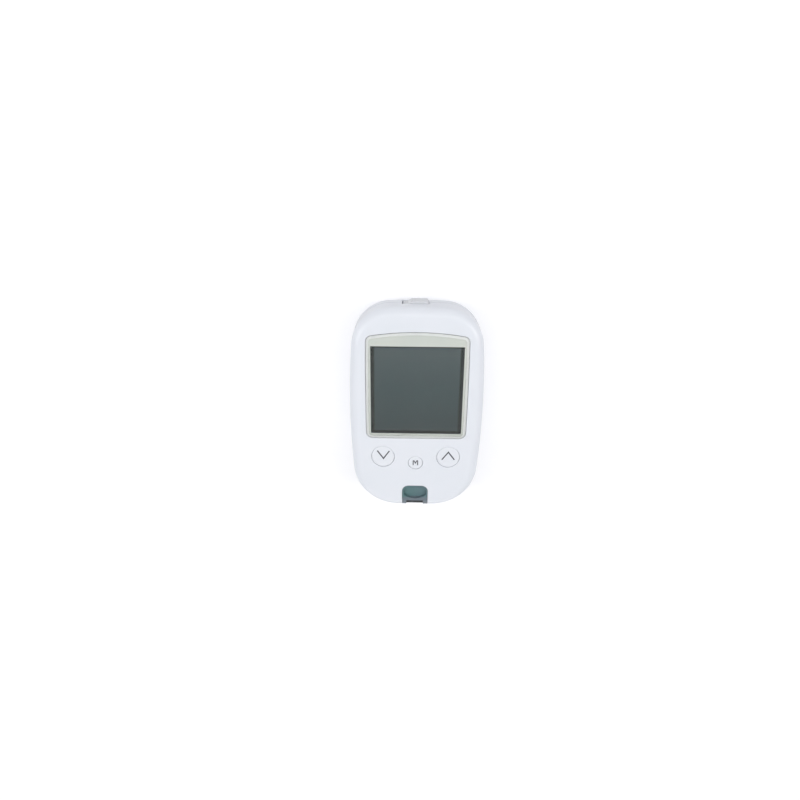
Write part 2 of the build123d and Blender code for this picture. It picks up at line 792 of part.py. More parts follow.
frame_half_width = lcd_half_width + fit_gap + frame_wall
frame_high_y = lcd_high_y + fit_gap + frame_wall
frame_low_y = lcd_contact_y - fit_gap - frame_wall
frame_top_z = lcd_top_z - fit_gap
with BuildPart() as lcd_frame:
    with BuildSketch(Plane.XY.offset(board_top_z)):
        with Locations((0, (frame_high_y + frame_low_y) / 2)):
            RectangleRounded(2 * frame_half_width, frame_high_y - frame_low_y, frame_wall)
    extrude(amount=frame_top_z - board_top_z)
    with BuildSketch(Plane.XY.offset(shelf_z)):
        with Locations((0, (lcd_high_y + lcd_contact_y) / 2)):
            Rectangle(2 * (lcd_half_width + fit_gap), lcd_high_y - lcd_contact_y + 2 * fit_gap)
    extrude(amount=case_height, mode=Mode.SUBTRACT)
    # open middle under the shelf
    with BuildSketch(Plane.XY.offset(board_top_z)):
        with Locations((0, window_y)):
            Rectangle(
                2 * (lcd_half_width - frame_shelf_width), lcd_high_y - lcd_low_y - 2 * frame_shelf_width
            )
    extrude(amount=case_height, mode=Mode.SUBTRACT)
    # the shelf is a step, not a solid bar
    with BuildSketch(Plane.XY.offset(board_top_z)):
        with Locations((0, window_y)):
            Rectangle(2 * (lcd_half_width + fit_gap), lcd_high_y - lcd_low_y)
    extrude(amount=shelf_z - frame_shelf - board_top_z, mode=Mode.SUBTRACT)
    # channel of the zebra strip
    with Locations((0, lcd_contact_y - fit_gap, board_top_z)):
        Box(
            zebra_length + 2 * fit_gap,
            zebra_width + 2 * fit_gap,
            case_height,
            align=(Align.CENTER, Align.MIN, Align.MIN),
            mode=Mode.SUBTRACT,
        )
lcd_frame.part.label = "lcd_frame"
export_step(lcd_frame.part, "parts/lcd_frame.step")

with BuildPart() as zebra_strip:
    with Locations((0, lcd_contact_y, board_top_z)):
        Box(
            zebra_length,
            zebra_width,
            lcd_mid_z - board_top_z,
            align=(Align.CENTER, Align.MIN, Align.MIN),
        )
zebra_strip.part.label = "zebra_strip"
export_step(zebra_strip.part, "parts/zebra_strip.step")


# ---- circuit board and what is soldered to it ----
with BuildPart() as circuit_board:
    with BuildSketch(Plane.XY.offset(board_z)):
        add(case_outline(board_inset))
        with Locations(*screw_places):
            Circle(screw_radius + screw_gap, mode=Mode.SUBTRACT)
    extrude(amount=board_thickness)
circuit_board.part.label = "circuit_board"
export_step(circuit_board.part, "parts/circuit_board.step")

with BuildPart() as board_chips:
    # processor, memory and a row of small parts on the underside, beside the battery tub
    with Locations((-chip_x, chip_y, board_z)):
        Box(processor_size, processor_size, chip_height, align=(Align.CENTER, Align.CENTER, Align.MAX))
    with Locations((chip_x, -chip_y, board_z)):
        Box(memory_width, memory_length, chip_height, align=(Align.CENTER, Align.CENTER, Align.MAX))
    with Locations((-chip_x, chip_y - processor_size, board_z)):
        with GridLocations(small_part_pitch, 2 * small_part_pitch, 4, 2):
            Box(
                small_part_width,
                2 * small_part_width,
                small_part_width,
                align=(Align.CENTER, Align.CENTER, Align.MAX),
            )
    # watch crystal lying on the board
    with BuildSketch(Plane.XZ.offset(-chip_y - processor_size)):
        with Locations((-chip_x, board_z - crystal_radius)):
            Circle(crystal_radius)
    extrude(amount=-crystal_length)
board_chips.part.label = "board_chips"
export_step(board_chips.part, "parts/board_chips.step")

with BuildPart() as buzzer:
    with BuildSketch(Plane.XY.offset(board_z)):
        with Locations((chip_x, chip_y)):
            Circle(buzzer_radius)
    extrude(amount=-buzzer_height)
    chamfer(buzzer.edges().group_by(Axis.Z)[0], length=small_part_width / 2)
    with BuildSketch(Plane.XY.offset(board_z - buzzer_height)):
        with Locations((chip_x, chip_y)):
            Circle(small_part_width)
    extrude(amount=buzzer_height / 3, mode=Mode.SUBTRACT)
buzzer.part.label = "buzzer"
export_step(buzzer.part, "parts/buzzer.step")


# ---- keys, their switches and plungers ----
plunger_low_z = switch_top_z - plunger_hidden
with BuildPart() as key_switches:
    for key in keys.values():
        with Locations((key["x"], key["y"], board_top_z)):
            Box(switch_size, switch_size, switch_height, align=(Align.CENTER, Align.CENTER, Align.MIN))
            with GridLocations(switch_size + switch_leg, switch_size * 2 / 3, 2, 2):
                Box(
                    switch_leg, switch_leg, switch_leg / 2, align=(Align.CENTER, Align.CENTER, Align.MIN)
                )
        with BuildSketch(Plane.XY.offset(switch_top_z)):
            with Locations((key["x"], key["y"])):
                Circle(plunger_radius + plunger_gap)
        extrude(amount=-plunger_hidden - key_travel - fit_gap, mode=Mode.SUBTRACT)
key_switches.part.label = "key_switches"
export_step(key_switches.part, "parts/key_switches.step")

for name, key in keys.items():
    x, y, radius = key["x"], key["y"], key["radius"]
    reach = radius + key_flange_reach
    flange_top_z = crown_z(abs(x) + reach, abs(y) + reach) - wall - key_flange_clearance
    flange_z = flange_top_z - key_flange_thickness
    top_z = crown_z(x, y) - key_sink
    dish_rim = radius - key_dish_rim
    dish_radius = (dish_rim**2 + key_dish_depth**2) / (2 * key_dish_depth)
    crown_center = Vector(0, 0, case_height - crown_radius)
    key_normal = (Vector(x, y, crown_z(x, y)) - crown_center).normalized()
    dish_center = Vector(x, y, top_z) + key_normal * (dish_radius - key_dish_depth)
    with BuildPart() as key_cap:
        with BuildSketch(Plane.XY.offset(flange_z)):
            with Locations((x, y)):
                Circle(radius)
        extrude(amount=case_height - flange_z)
        with Locations((0, 0, case_height - key_sink - crown_radius)):
            Sphere(radius=crown_radius, rotation=(90, 0, 0), mode=Mode.INTERSECT)
        fillet(key_cap.faces().sort_by(Axis.Z)[-1].edges(), radius=key_edge_radius)
        with Locations(dish_center):
            Sphere(radius=dish_radius, mode=Mode.SUBTRACT)
        # flange that keeps the key in
        with BuildSketch(Plane.XY.offset(flange_z)):
            with Locations((x, y)):
                Circle(reach)
        extrude(amount=key_flange_thickness)
        # hollow underside with a post on two crossed ribs
        with BuildSketch(Plane.XY.offset(flange_z)):
            with Locations((x, y)):
                Circle(radius - key_skin)
        extrude(amount=top_z - key_dish_depth - key_skin - flange_z, mode=Mode.SUBTRACT)
        with BuildSketch(Plane.XY.offset(flange_z)):
            with Locations((x, y)):
                Rectangle(2 * radius - key_skin, key_rib_width)
                Rectangle(key_rib_width, 2 * radius - key_skin)
        extrude(amount=top_z - key_dish_depth - key_skin / 2 - flange_z)
        # room for the plunger between the ribs, then the post that stands on it
        with BuildSketch(Plane.XY.offset(board_top_z)):
            with Locations((x, y)):
                Circle(plunger_radius + plunger_gap)
        extrude(amount=plunger_top_z - board_top_z, mode=Mode.SUBTRACT)
        with BuildSketch(Plane.XY.offset(plunger_top_z)):
            with Locations((x, y)):
                Circle(plunger_radius)
        extrude(amount=top_z - key_dish_depth - key_skin / 2 - plunger_top_z)
    key_cap.part.label = name
    export_step(key_cap.part, f"parts/{name}.step")

    with BuildPart() as plunger:
        with BuildSketch(Plane.XY.offset(plunger_low_z)):
            with Locations((x, y)):
                Circle(plunger_radius)
        extrude(amount=plunger_top_z - plunger_low_z)
        chamfer(plunger.edges().group_by(Axis.Z)[-1], length=plunger_radius / 8)
    plunger_name = name.replace("key", "plunger")
    plunger.part.label = plunger_name
    export_step(plunger.part, f"parts/{plunger_name}.step")


# ---- test strip port ----
end_y = bottom_end_y
slot_start_y = end_y + mouth_depth
slot_top_z = slot_z + slot_height / 2
mouth_rise = mouth_depth * math.tan(math.radians(mouth_slope))
thumb_y = port_top_y - thumb_rim
thumb_half_width = port_width / 2 - thumb_rim
thumb_side = thumb_length - thumb_bow
thumb_z = crown_z(0, thumb_y) - thumb_depth
thumb_plane = Plane(
    origin=(0, thumb_y, thumb_z),
    x_dir=(1, 0, 0),
    z_dir=(0, -math.sin(math.radians(thumb_slope)), math.cos(math.radians(thumb_slope))),
)
with BuildPart() as strip_port:
    # tunnel that guides the strip, inside the case's form
    with Locations((0, port_top_y, slot_z)):
        Box(
            slot_width + 2 * tunnel_wall,
            port_top_y - end_y,
            slot_height + 2 * tunnel_wall,
            align=(Align.CENTER, Align.MAX, Align.CENTER),
        )
    add(front_form(wall + fit_gap), mode=Mode.INTERSECT)
    # skin that carries on the case's face and end, and the flange behind the case's edge
    add(shell_slice(0, wall + port_skin, port_plan(-fit_gap / 2)))
    add(shell_slice(wall + fit_gap, flange_thickness, port_plan(flange_reach)))
    # the flange leaves the connector free
    with Locations((0, port_top_y, slot_z)):
        Box(
            connector_width + 2 * fit_gap,
            2 * flange_reach,
            case_height,
            align=(Align.CENTER, Align.MIN, Align.CENTER),
            mode=Mode.SUBTRACT,
        )
    # thumb hollow with a sloping floor and a lip at its lower end
    with BuildSketch(thumb_plane) as thumb:
        with BuildLine():
            ThreePointArc(
                (-thumb_half_width, -thumb_side), (0, -thumb_length), (thumb_half_width, -thumb_side)
            )
            Polyline(
                (thumb_half_width, -thumb_side),
                (thumb_half_width, 0),
                (-thumb_half_width, 0),
                (-thumb_half_width, -thumb_side),
            )
        make_face()
        fillet(thumb.vertices().group_by(Axis.Y)[-1], radius=thumb_corner_radius)
    extrude(amount=case_height, mode=Mode.SUBTRACT)
    # strip slot
    with Locations((0, port_top_y + case_height / 2, slot_z)):
        Box(
            slot_width,
            case_height * 2,
            slot_height,
            align=(Align.CENTER, Align.MAX, Align.CENTER),
            mode=Mode.SUBTRACT,
        )
    # flared mouth
    with BuildSketch(Plane.YZ.offset(-mouth_width / 2)):
        with BuildLine():
            Polyline(
                (slot_start_y, slot_low_z),
                (slot_start_y, slot_top_z),
                (end_y, slot_top_z + mouth_rise),
                (end_y - wall, slot_top_z + mouth_rise),
                (end_y - wall, slot_low_z - mouth_drop),
                (end_y, slot_low_z - mouth_drop),
                close=True,
            )
        make_face()
    extrude(amount=mouth_width, mode=Mode.SUBTRACT)
strip_port.part.label = "strip_port"
export_step(strip_port.part, "parts/strip_port.step")

# the connector stands on the board, its face against the port's tunnel
connector_y = port_top_y + fit_gap
connector_back_y = connector_y + connector_length
connector_height = slot_top_z + connector_roof - board_top_z
contact_xs = [(i - (contact_count - 1) / 2) * contact_pitch for i in range(contact_count)]
with BuildPart() as strip_connector:
    with Locations((0, connector_y, board_top_z)):
        Box(
            connector_width,
            connector_length,
            connector_height,
            align=(Align.CENTER, Align.MIN, Align.MIN),
        )
    chamfer(strip_connector.edges().filter_by(Axis.Y).group_by(Axis.Z)[-1], length=tunnel_wall / 2)
    with Locations((0, connector_y, slot_z)):
        Box(
            slot_width,
            connector_slot_depth,
            slot_height,
            align=(Align.CENTER, Align.MIN, Align.CENTER),
            mode=Mode.SUBTRACT,
        )
    # a groove through the back wall for each contact
    for contact_x in contact_xs:
        with Locations((contact_x, connector_y, slot_low_z)):
            Box(
                contact_width + fit_gap,
                2 * connector_length,
                contact_thickness + fit_gap,
                align=(Align.CENTER, Align.MIN, Align.MIN),
                mode=Mode.SUBTRACT,
            )
strip_connector.part.label = "strip_connector"
export_step(strip_connector.part, "parts/strip_connector.step")

with BuildPart() as strip_contacts:
    # each contact lies in the slot, passes the back wall and turns down to a foot on the board
    contact_start_y = connector_y + contact_lead
    contact_end_y = connector_back_y + contact_lead
    for contact_x in contact_xs:
        with BuildSketch(Plane.YZ.offset(contact_x - contact_width / 2)):
            with BuildLine():
                Polyline(
                    (contact_start_y, slot_low_z),
                    (contact_end_y, slot_low_z),
                    (contact_end_y, board_top_z),
                    (contact_end_y + contact_foot, board_top_z),
                    (contact_end_y + contact_foot, board_top_z + contact_thickness),
                    (contact_end_y + contact_thickness, board_top_z + contact_thickness),
                    (contact_end_y + contact_thickness, slot_low_z + contact_thickness),
                    (contact_start_y, slot_low_z + contact_thickness),
                    close=True,
                )
            make_face()
        extrude(amount=contact_width)
strip_contacts.part.label = "strip_contacts"
export_step(strip_contacts.part, "parts/strip_contacts.step")


# ---- data socket under the board's top edge ----
socket_y = top_end_y - board_inset                      # its mouth
with BuildPart() as data_socket:
    with BuildSketch(Plane.XZ.offset(-socket_y)):
        with Locations((0, socket_center_z)):
            Rectangle(socket_width, socket_height)
    extrude(amount=socket_length)
    chamfer(
        data_socket.edges().filter_by(Axis.Y).group_by(Axis.Z)[0], length=socket_height / 4
    )
    socket_mouth = data_socket.faces().sort_by(Axis.Y)[-1]
    offset(amount=-socket_skin, openings=socket_mouth)
data_socket.part.label = "data_socket"
export_step(data_socket.part, "parts/data_socket.step")

with BuildPart() as socket_tongue:
    with Locations((0, socket_y - socket_length + socket_skin, socket_center_z + socket_skin)):
        Box(
            socket_width * 2 / 3,
            socket_length - 4 * socket_skin,
            socket_height / 4,
            align=(Align.CENTER, Align.MIN, Align.CENTER),
        )
    with Locations((0, socket_y - socket_length + socket_skin, socket_center_z)):
        Box(
            socket_width - socket_height / 2 - 2 * socket_skin,
            socket_length / 3,
            socket_height - 2 * socket_skin - fit_gap,
            align=(Align.CENTER, Align.MIN, Align.CENTER),
        )
socket_tongue.part.label = "socket_tongue"
export_step(socket_tongue.part, "parts/socket_tongue.step")


# ---- cover of the data port: turns on two pins at its left end ----
cover_front_y = pivot_y + cover_barrel_radius
with BuildPart() as port_cover:
    with BuildSketch(Plane.XY.offset(cover_low_z)):
        with Locations((cover_pivot_x, pivot_y)):
            Circle(cover_barrel_radius)
        with BuildLine():
            # the outer face is flush at the pivot and rises to a fingernail edge
            Polyline(
                (cover_pivot_x, cover_back_y),
                (cover_right_x, cover_back_y),
                (cover_right_x, cover_front_y),
                (cover_right_x - cover_lip, top_end_y + cover_proud),
                (cover_pivot_x + cover_barrel_radius + cover_ramp, top_end_y + cover_proud),
                (cover_pivot_x + cover_barrel_radius, cover_front_y),
                (cover_pivot_x, cover_front_y),
                close=True,
            )
        make_face()
    extrude(amount=cover_height)
    lip_edges = port_cover.edges().filter_by(Axis.Z).group_by(Axis.Y)[-1]
    fillet(lip_edges, radius=cover_lip)
    with BuildSketch(Plane.XY.offset(cover_low_z - pivot_length)):
        with Locations((cover_pivot_x, pivot_y)):
            Circle(pivot_radius)
    extrude(amount=cover_height + 2 * pivot_length)
port_cover.part.label = "port_cover"
export_step(port_cover.part, "parts/port_cover.step")


# ---- screws that hold the shells together ----
with BuildPart() as case_screws:
    with BuildSketch(Plane.XY.offset(screw_seat_z)):
        with Locations(*screw_places):
            Circle(screw_head_radius)
    extrude(amount=-screw_head_height)
    chamfer(case_screws.edges().group_by(Axis.Z)[0], length=screw_head_height / 3)
    # cross recess
    with BuildSketch(Plane.XY.offset(screw_seat_z - screw_head_height)):
        with Locations(*screw_places):
            Rectangle(screw_radius * 2, screw_radius / 2)
            Rectangle(screw_radius / 2, screw_radius * 2)
    extrude(amount=screw_head_height / 2, mode=Mode.SUBTRACT)
    with BuildSketch(Plane.XY.offset(screw_seat_z)):
        with Locations(*screw_places):
            Circle(screw_radius)
    extrude(amount=screw_length)
    chamfer(case_screws.edges().group_by(Axis.Z)[-1], length=screw_radius / 2)
case_screws.part.label = "case_screws"
export_step(case_screws.part, "parts/case_screws.step")
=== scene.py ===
import math

import bmesh
import bpy
from mathutils import Matrix, Vector
from mathutils.bvhtree import BVHTree
from mathutils.geometry import tessellate_polygon


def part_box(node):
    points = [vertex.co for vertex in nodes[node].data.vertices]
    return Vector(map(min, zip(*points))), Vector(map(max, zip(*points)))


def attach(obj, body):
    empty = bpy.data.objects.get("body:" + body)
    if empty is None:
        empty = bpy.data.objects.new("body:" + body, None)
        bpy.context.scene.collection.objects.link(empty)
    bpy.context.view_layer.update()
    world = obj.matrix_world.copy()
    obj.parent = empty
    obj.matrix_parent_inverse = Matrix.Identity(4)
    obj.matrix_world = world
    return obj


# A pocket blood glucose meter lying on its back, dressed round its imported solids. Units are metres,
# +Z out of the display, +Y to the top end. Sizes given in mm are turned into metres with mm.

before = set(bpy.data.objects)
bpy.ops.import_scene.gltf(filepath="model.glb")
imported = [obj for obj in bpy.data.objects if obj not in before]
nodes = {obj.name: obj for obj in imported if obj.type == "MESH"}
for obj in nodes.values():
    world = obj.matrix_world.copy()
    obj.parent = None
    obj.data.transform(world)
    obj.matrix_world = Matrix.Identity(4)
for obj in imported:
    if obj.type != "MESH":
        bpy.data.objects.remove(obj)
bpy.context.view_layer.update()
mm = 0.001


# colours are picked as 0-255 screen values, shaders want them linear
def screenColour(red, green, blue):
    channels = []
    for value in (red, green, blue):
        share = value / 255
        channels.append(share / 12.92 if share <= 0.04045 else ((share + 0.055) / 1.055) ** 2.4)
    return (*channels, 1.0)


def newMaterial(name):
    material = bpy.data.materials.new(name)
    material.use_nodes = True
    return material, material.node_tree, material.node_tree.nodes["Principled BSDF"]


# a link where the value comes from another node, a plain setting where it doesn't
def setSocket(tree, socket, value):
    if isinstance(value, bpy.types.NodeSocket):
        tree.links.new(value, socket)
    else:
        socket.default_value = value


def addNode(tree, kind, inputs=None, **settings):
    made = tree.nodes.new(kind)
    for name, value in settings.items():
        setattr(made, name, value)
    for name, value in (inputs or {}).items():
        setSocket(tree, made.inputs[name], value)
    return made


def objectCoords(tree):
    return addNode(tree, "ShaderNodeTexCoord").outputs["Object"]


def objectAxes(tree, coords):
    return addNode(tree, "ShaderNodeSeparateXYZ", {"Vector": coords}).outputs


def calc(tree, operation, *values, clamp=False):
    made = addNode(tree, "ShaderNodeMath", operation=operation, use_clamp=clamp)
    for socket, value in zip(made.inputs, values):
        setSocket(tree, socket, value)
    return made.outputs["Value"]


# value goes from start to end while the result goes from low to high, straight or eased
def remap(tree, value, start, end, low=0.0, high=1.0, eased=True):
    inputs = {"Value": value, "From Min": start, "From Max": end, "To Min": low, "To Max": high}
    kind = "SMOOTHSTEP" if eased else "LINEAR"
    return addNode(tree, "ShaderNodeMapRange", inputs, interpolation_type=kind).outputs["Result"]


noiseSpan = (0.3, 0.7)               # nearly all of a noise texture's values lie between these
edgeSamples = 6                      # rays that feel for a corner or an edge at each shaded point


# a noise pattern spread between two values; size is the width of one blotch
def noiseBetween(tree, coords, size, low, high, detail=3.0, stretch=None):
    if stretch:
        coords = addNode(tree, "ShaderNodeMapping", {"Vector": coords, "Scale": stretch}).outputs["Vector"]
    noise = addNode(tree, "ShaderNodeTexNoise", {"Vector": coords, "Scale": 1 / size, "Detail": detail})
    return remap(tree, noise.outputs["Fac"], *noiseSpan, low, high, eased=False)


# inputs 6 and 7 and output 2 are the mix node's colour sockets
def mixColours(tree, factor, first, second):
    mix = addNode(tree, "ShaderNodeMix", data_type="RGBA")
    for socket, value in ((mix.inputs[0], factor), (mix.inputs[6], first), (mix.inputs[7], second)):
        setSocket(tree, socket, value)
    return mix.outputs[2]


# two near colours that drift into each other
def driftColour(tree, coords, look):
    drift = noiseBetween(tree, coords, look["driftSize"], 0.0, 1.0)
    return mixColours(tree, drift, screenColour(*look["colour"]), screenColour(*look["shade"]))


def bumpInto(tree, shader, height, strength, distance, rounding=None):
    inputs = {"Height": height, "Strength": strength, "Distance": distance}
    if rounding:  # the small radius that every moulded edge has
        bevel = addNode(tree, "ShaderNodeBevel", {"Radius": rounding}, samples=edgeSamples)
        inputs["Normal"] = bevel.outputs["Normal"]
    bump = addNode(tree, "ShaderNodeBump", inputs)
    tree.links.new(bump.outputs["Normal"], shader.inputs["Normal"])


def setShader(shader, values):
    for name, value in values.items():
        shader.inputs[name].default_value = value


seamOpenness = (0.75, 0.2)           # share of open sky at a seam's start, and well inside it


# how deep a point sits in a seam or a corner, 0 in the open and 1 well inside
def seamDepth(tree, reach):
    corner = addNode(tree, "ShaderNodeAmbientOcclusion", {"Distance": reach}, samples=edgeSamples)
    return remap(tree, corner.outputs["AO"], *seamOpenness)


edgeCosines = (0.995, 0.9)           # cosine of the turn where an edge starts, and on a full edge


# how sharply the surface turns within a small radius, 0 on a flat and 1 on an edge
def edgeTurn(tree, radius):
    rounded = addNode(tree, "ShaderNodeBevel", {"Radius": radius}, samples=edgeSamples)
    plain = addNode(tree, "ShaderNodeNewGeometry")
    turn = addNode(
        tree,
        "ShaderNodeVectorMath",
        {0: rounded.outputs["Normal"], 1: plain.outputs["Normal"]},
        operation="DOT_PRODUCT",
    )
    return remap(tree, turn.outputs["Value"], *edgeCosines)


# moulded plastic: faint colour drift, fine grain, handled edges a little shinier, painted shade in the
# seams
def mouldedPlastic(name, look):
    material, tree, shader = newMaterial(name)
    coords = objectCoords(tree)
    colour = driftColour(tree, coords, look)
    # painted shade: a darker grey wherever the occlusion test finds a seam or a corner
    if look.get("seamShade"):
        shadedSeam = calc(tree, "MULTIPLY", seamDepth(tree, look["seamShadeReach"]), look["seamShade"])
        colour = mixColours(tree, shadedSeam, colour, screenColour(*look["seamShadeColour"]))
    tree.links.new(colour, shader.inputs["Base Color"])
    low, high = look["roughness"]
    roughness = noiseBetween(tree, coords, look["smearSize"], low, high, detail=4.0)
    if look.get("polish"):
        wearAndHighlight = calc(tree, "MULTIPLY", edgeTurn(tree, look["polishReach"]), look["polish"])
        roughness = calc(tree, "SUBTRACT", roughness, wearAndHighlight, clamp=True)
    tree.links.new(roughness, shader.inputs["Roughness"])
    grain = noiseBetween(tree, coords, look["grainSize"], 0.0, 1.0, detail=2.0)
    bumpInto(tree, shader, grain, look["grainStrength"], look["grainHeight"], look.get("rounding"))
    setShader(shader, look.get("shader", {}))
    return material


caseLook = {
    "colour": (231, 234, 241),
    "shade": (229, 233, 240),
    "driftSize": 22 * mm,
    "roughness": (0.28, 0.31),
    "smearSize": 16 * mm,
    "grainSize": 0.3 * mm,
    "grainStrength": 0.05,
    "grainHeight": 0.02 * mm,
    "rounding": 0.2 * mm,
    "polish": 0.07,                  # roughness that handling takes off the edges
    "polishReach": 0.5 * mm,
    "seamShade": 0.1,                     # share of the painted seam shade's colour deep in a seam
    "seamShadeReach": 0.5 * mm,
    "seamShadeColour": (170, 169, 166),
    "shader": {
        "IOR": 1.5,
        "Coat Weight": 0.2,
        "Coat Roughness": 0.1,
        "Specular IOR Level": 0.45,
        "Subsurface Weight": 0.25,
        "Subsurface Radius": (0.3 * mm, 0.3 * mm, 0.3 * mm),
        "Subsurface Scale": 1.0,
    },
}

keyLook = dict(
    caseLook,
    colour=(232, 235, 241),
    shade=(230, 233, 240),
    roughness=(0.24, 0.27),
    rounding=0.12 * mm,
    seamShade=0.0,
)

# the cover is the case's white made darker: painted shade of the top end where it sits
coverLook = dict(caseLook, colour=(214, 216, 220), shade=(211, 213, 217), rounding=0.15 * mm, seamShade=0.0)


# the strip port's teal is a touch see-through, with painted shade darkening its edges and a painted
# highlight, a paler grey, from its ledge down to the mouth where strips go in
def portPlastic(name, look):
    material, tree, shader = newMaterial(name)
    coords = objectCoords(tree)
    axes = objectAxes(tree, coords)
    leftward = remap(tree, axes["X"], look["greenEnd"], look["greenStart"], 0.0, look["green"])
    colour = mixColours(tree, leftward, driftColour(tree, coords, look), screenColour(*look["greenColour"]))
    # painted highlight: paler grey from the ledge down to the mouth
    wearAndHighlight = remap(tree, axes["Y"], look["ledgeLightStart"], look["ledgeLightEnd"], 0.0, look["ledgeLight"])
    colour = mixColours(tree, wearAndHighlight, colour, screenColour(*look["ledgeLightColour"]))
    # painted shade: a darker tone along every edge
    edge = calc(tree, "MULTIPLY", edgeTurn(tree, look["edgeShadeReach"]), look["edge"])
    colour = mixColours(tree, edge, colour, screenColour(*look["edgeShadeColour"]))
    tree.links.new(colour, shader.inputs["Base Color"])
    roughness = noiseBetween(tree, coords, look["smearSize"], *look["roughness"], detail=4.0)
    tree.links.new(roughness, shader.inputs["Roughness"])
    grain = noiseBetween(tree, coords, look["grainSize"], 0.0, 1.0, detail=2.0)
    bumpInto(tree, shader, grain, look["grainStrength"], look["grainHeight"], look["rounding"])
    setShader(shader, look["shader"])
    return material


portLook = {
    "colour": (94, 121, 127),
    "shade": (90, 116, 122),
    "driftSize": 5 * mm,
    "green": 0.5,                    # share of the greener teal at the left side
    "greenStart": -4.5 * mm,
    "greenEnd": 3.5 * mm,
    "greenColour": (82, 122, 121),
    "ledgeLight": 0.85,                    # share of the painted highlight's grey at the mouth
    "ledgeLightStart": -42.2 * mm,
    "ledgeLightEnd": -43.6 * mm,
    "ledgeLightColour": (112, 120, 130),
    "edge": 0.75,                    # share of the painted shade's dark tone on an edge
    "edgeShadeReach": 0.45 * mm,
    "edgeShadeColour": (66, 74, 82),
    "roughness": (0.32, 0.38),
    "smearSize": 2.5 * mm,
    "grainSize": 0.25 * mm,
    "grainStrength": 0.06,
    "grainHeight": 0.02 * mm,
    "rounding": 0.15 * mm,
    "shader": {
        "IOR": 1.5,
        "Coat Weight": 0.1,
        "Coat Roughness": 0.12,
        "Subsurface Weight": 0.1,
        "Subsurface Radius": (0.4 * mm, 0.9 * mm, 0.9 * mm),
        "Subsurface Scale": 1.0,
    },
}

blackLook = {
    "colour": (38, 39, 42),
    "shade": (30, 31, 33),
    "driftSize": 4 * mm,
    "roughness": (0.45, 0.6),
    "smearSize": 1.5 * mm,
    "grainSize": 0.12 * mm,
    "grainStrength": 0.35,
    "grainHeight": 0.03 * mm,
    "rounding": 0.1 * mm,
}

reflectorLook = dict(blackLook, colour=(214, 218, 214), shade=(206, 211, 206), roughness=(0.5, 0.6))
plungerLook = dict(blackLook, colour=(120, 84, 56), shade=(104, 71, 47), roughness=(0.35, 0.45))
rubberLook = dict(blackLook, colour=(44, 44, 46), shade=(34, 34, 36), roughness=(0.7, 0.85))


# screen print, with the fine flecks that a printed film has
def inkPrint(name, look):
    material, tree, shader = newMaterial(name)
    coords = objectCoords(tree)
    fleck = noiseBetween(tree, coords, look["fleckSize"], 0.0, look["fleck"], detail=1.0)
    colour = mixColours(tree, fleck, driftColour(tree, coords, look), screenColour(*look["fleckColour"]))
    tree.links.new(colour, shader.inputs["Base Color"])
    roughness = noiseBetween(tree, coords, look["fleckSize"], *look["roughness"])
    tree.links.new(roughness, shader.inputs["Roughness"])
    bumpInto(tree, shader, fleck, look["fleckStrength"], look["fleckHeight"])
    return material


# the frame printed on the back of the window; its colour is paler than the print's own, painted light that
# makes up for the light the window holds back
maskLook = {
    "colour": (234, 235, 228),
    "shade": (232, 233, 226),
    "driftSize": 18 * mm,
    "fleck": 0.12,
    "fleckSize": 0.08 * mm,
    "fleckStrength": 0.1,
    "fleckHeight": 0.005 * mm,
    "fleckColour": (220, 222, 216),
    "roughness": (0.45, 0.6),
}

markLook = {
    "colour": (62, 63, 72),
    "shade": (56, 57, 66),
    "driftSize": 1 * mm,
    "fleck": 0.25,
    "fleckSize": 0.06 * mm,
    "fleckStrength": 0.1,
    "fleckHeight": 0.005 * mm,
    "fleckColour": (92, 94, 104),
    "roughness": (0.4, 0.55),
}


# clear acrylic, with hairline scuffs that only show in its gloss; its bevelled rim is satin, and its side
# is painted shade, dark grey and opaque, as seen down in the groove round it
def clearWindow(name, look):
    material, tree, shader = newMaterial(name)
    coords = objectCoords(tree)
    smear = noiseBetween(tree, coords, look["smearSize"], *look["roughness"], detail=5.0)
    scuffs = noiseBetween(tree, coords, look["scuffSize"], 0.0, 1.0, stretch=look["scuffStretch"])
    scuffs = calc(tree, "MULTIPLY", remap(tree, scuffs, look["scuffStart"], 1.0), look["scuffDepth"])
    facing = addNode(tree, "ShaderNodeTexCoord").outputs["Normal"]
    upright = calc(tree, "ABSOLUTE", objectAxes(tree, facing)["Z"])
    bevel = remap(tree, upright, look["flatLimit"], look["bevelLimit"])
    sideShade = remap(tree, upright, look["wallStart"], look["wallEnd"])
    satin = calc(tree, "MULTIPLY", bevel, look["satin"])
    rough = calc(tree, "ADD", calc(tree, "ADD", smear, scuffs), satin, clamp=True)
    tree.links.new(rough, shader.inputs["Roughness"])
    clear = remap(tree, bevel, 0.0, 1.0, 1.0, look["bevelClear"], eased=False)
    # painted shade: the window's side lets no light through and is painted dark grey below
    clear = calc(tree, "SUBTRACT", clear, sideShade, clamp=True)
    tree.links.new(clear, shader.inputs["Transmission Weight"])
    colour = mixColours(tree, sideShade, driftColour(tree, coords, look), screenColour(*look["sideShadeColour"]))
    tree.links.new(colour, shader.inputs["Base Color"])
    bumpInto(tree, shader, smear, look["smearStrength"], look["smearHeight"])
    setShader(shader, {"IOR": look["refraction"]})
    return material


windowLook = {
    "colour": (251, 253, 253),
    "shade": (248, 251, 251),
    "driftSize": 15 * mm,
    "roughness": (0.0, 0.03),
    "smearSize": 7 * mm,
    "smearStrength": 0.04,
    "smearHeight": 0.01 * mm,
    "scuffSize": 0.5 * mm,
    "scuffStretch": (1.0, 0.04, 1.0),
    "scuffStart": 0.82,              # noise above this is a scuff
    "scuffDepth": 0.05,              # roughness that a scuff adds
    "flatLimit": 0.985,              # upright share of the normal on the crown, and on the bevel
    "bevelLimit": 0.965,
    "satin": 0.4,                    # roughness that the bevel adds
    "bevelClear": 0.48,              # share of its light that the bevel lets through
    "wallStart": 0.7,                # upright share of the normal where the window's side starts
    "wallEnd": 0.4,
    "sideShadeColour": (96, 99, 102),     # painted shade on the window's side, seen down in the groove round it
    "refraction": 1.49,
}
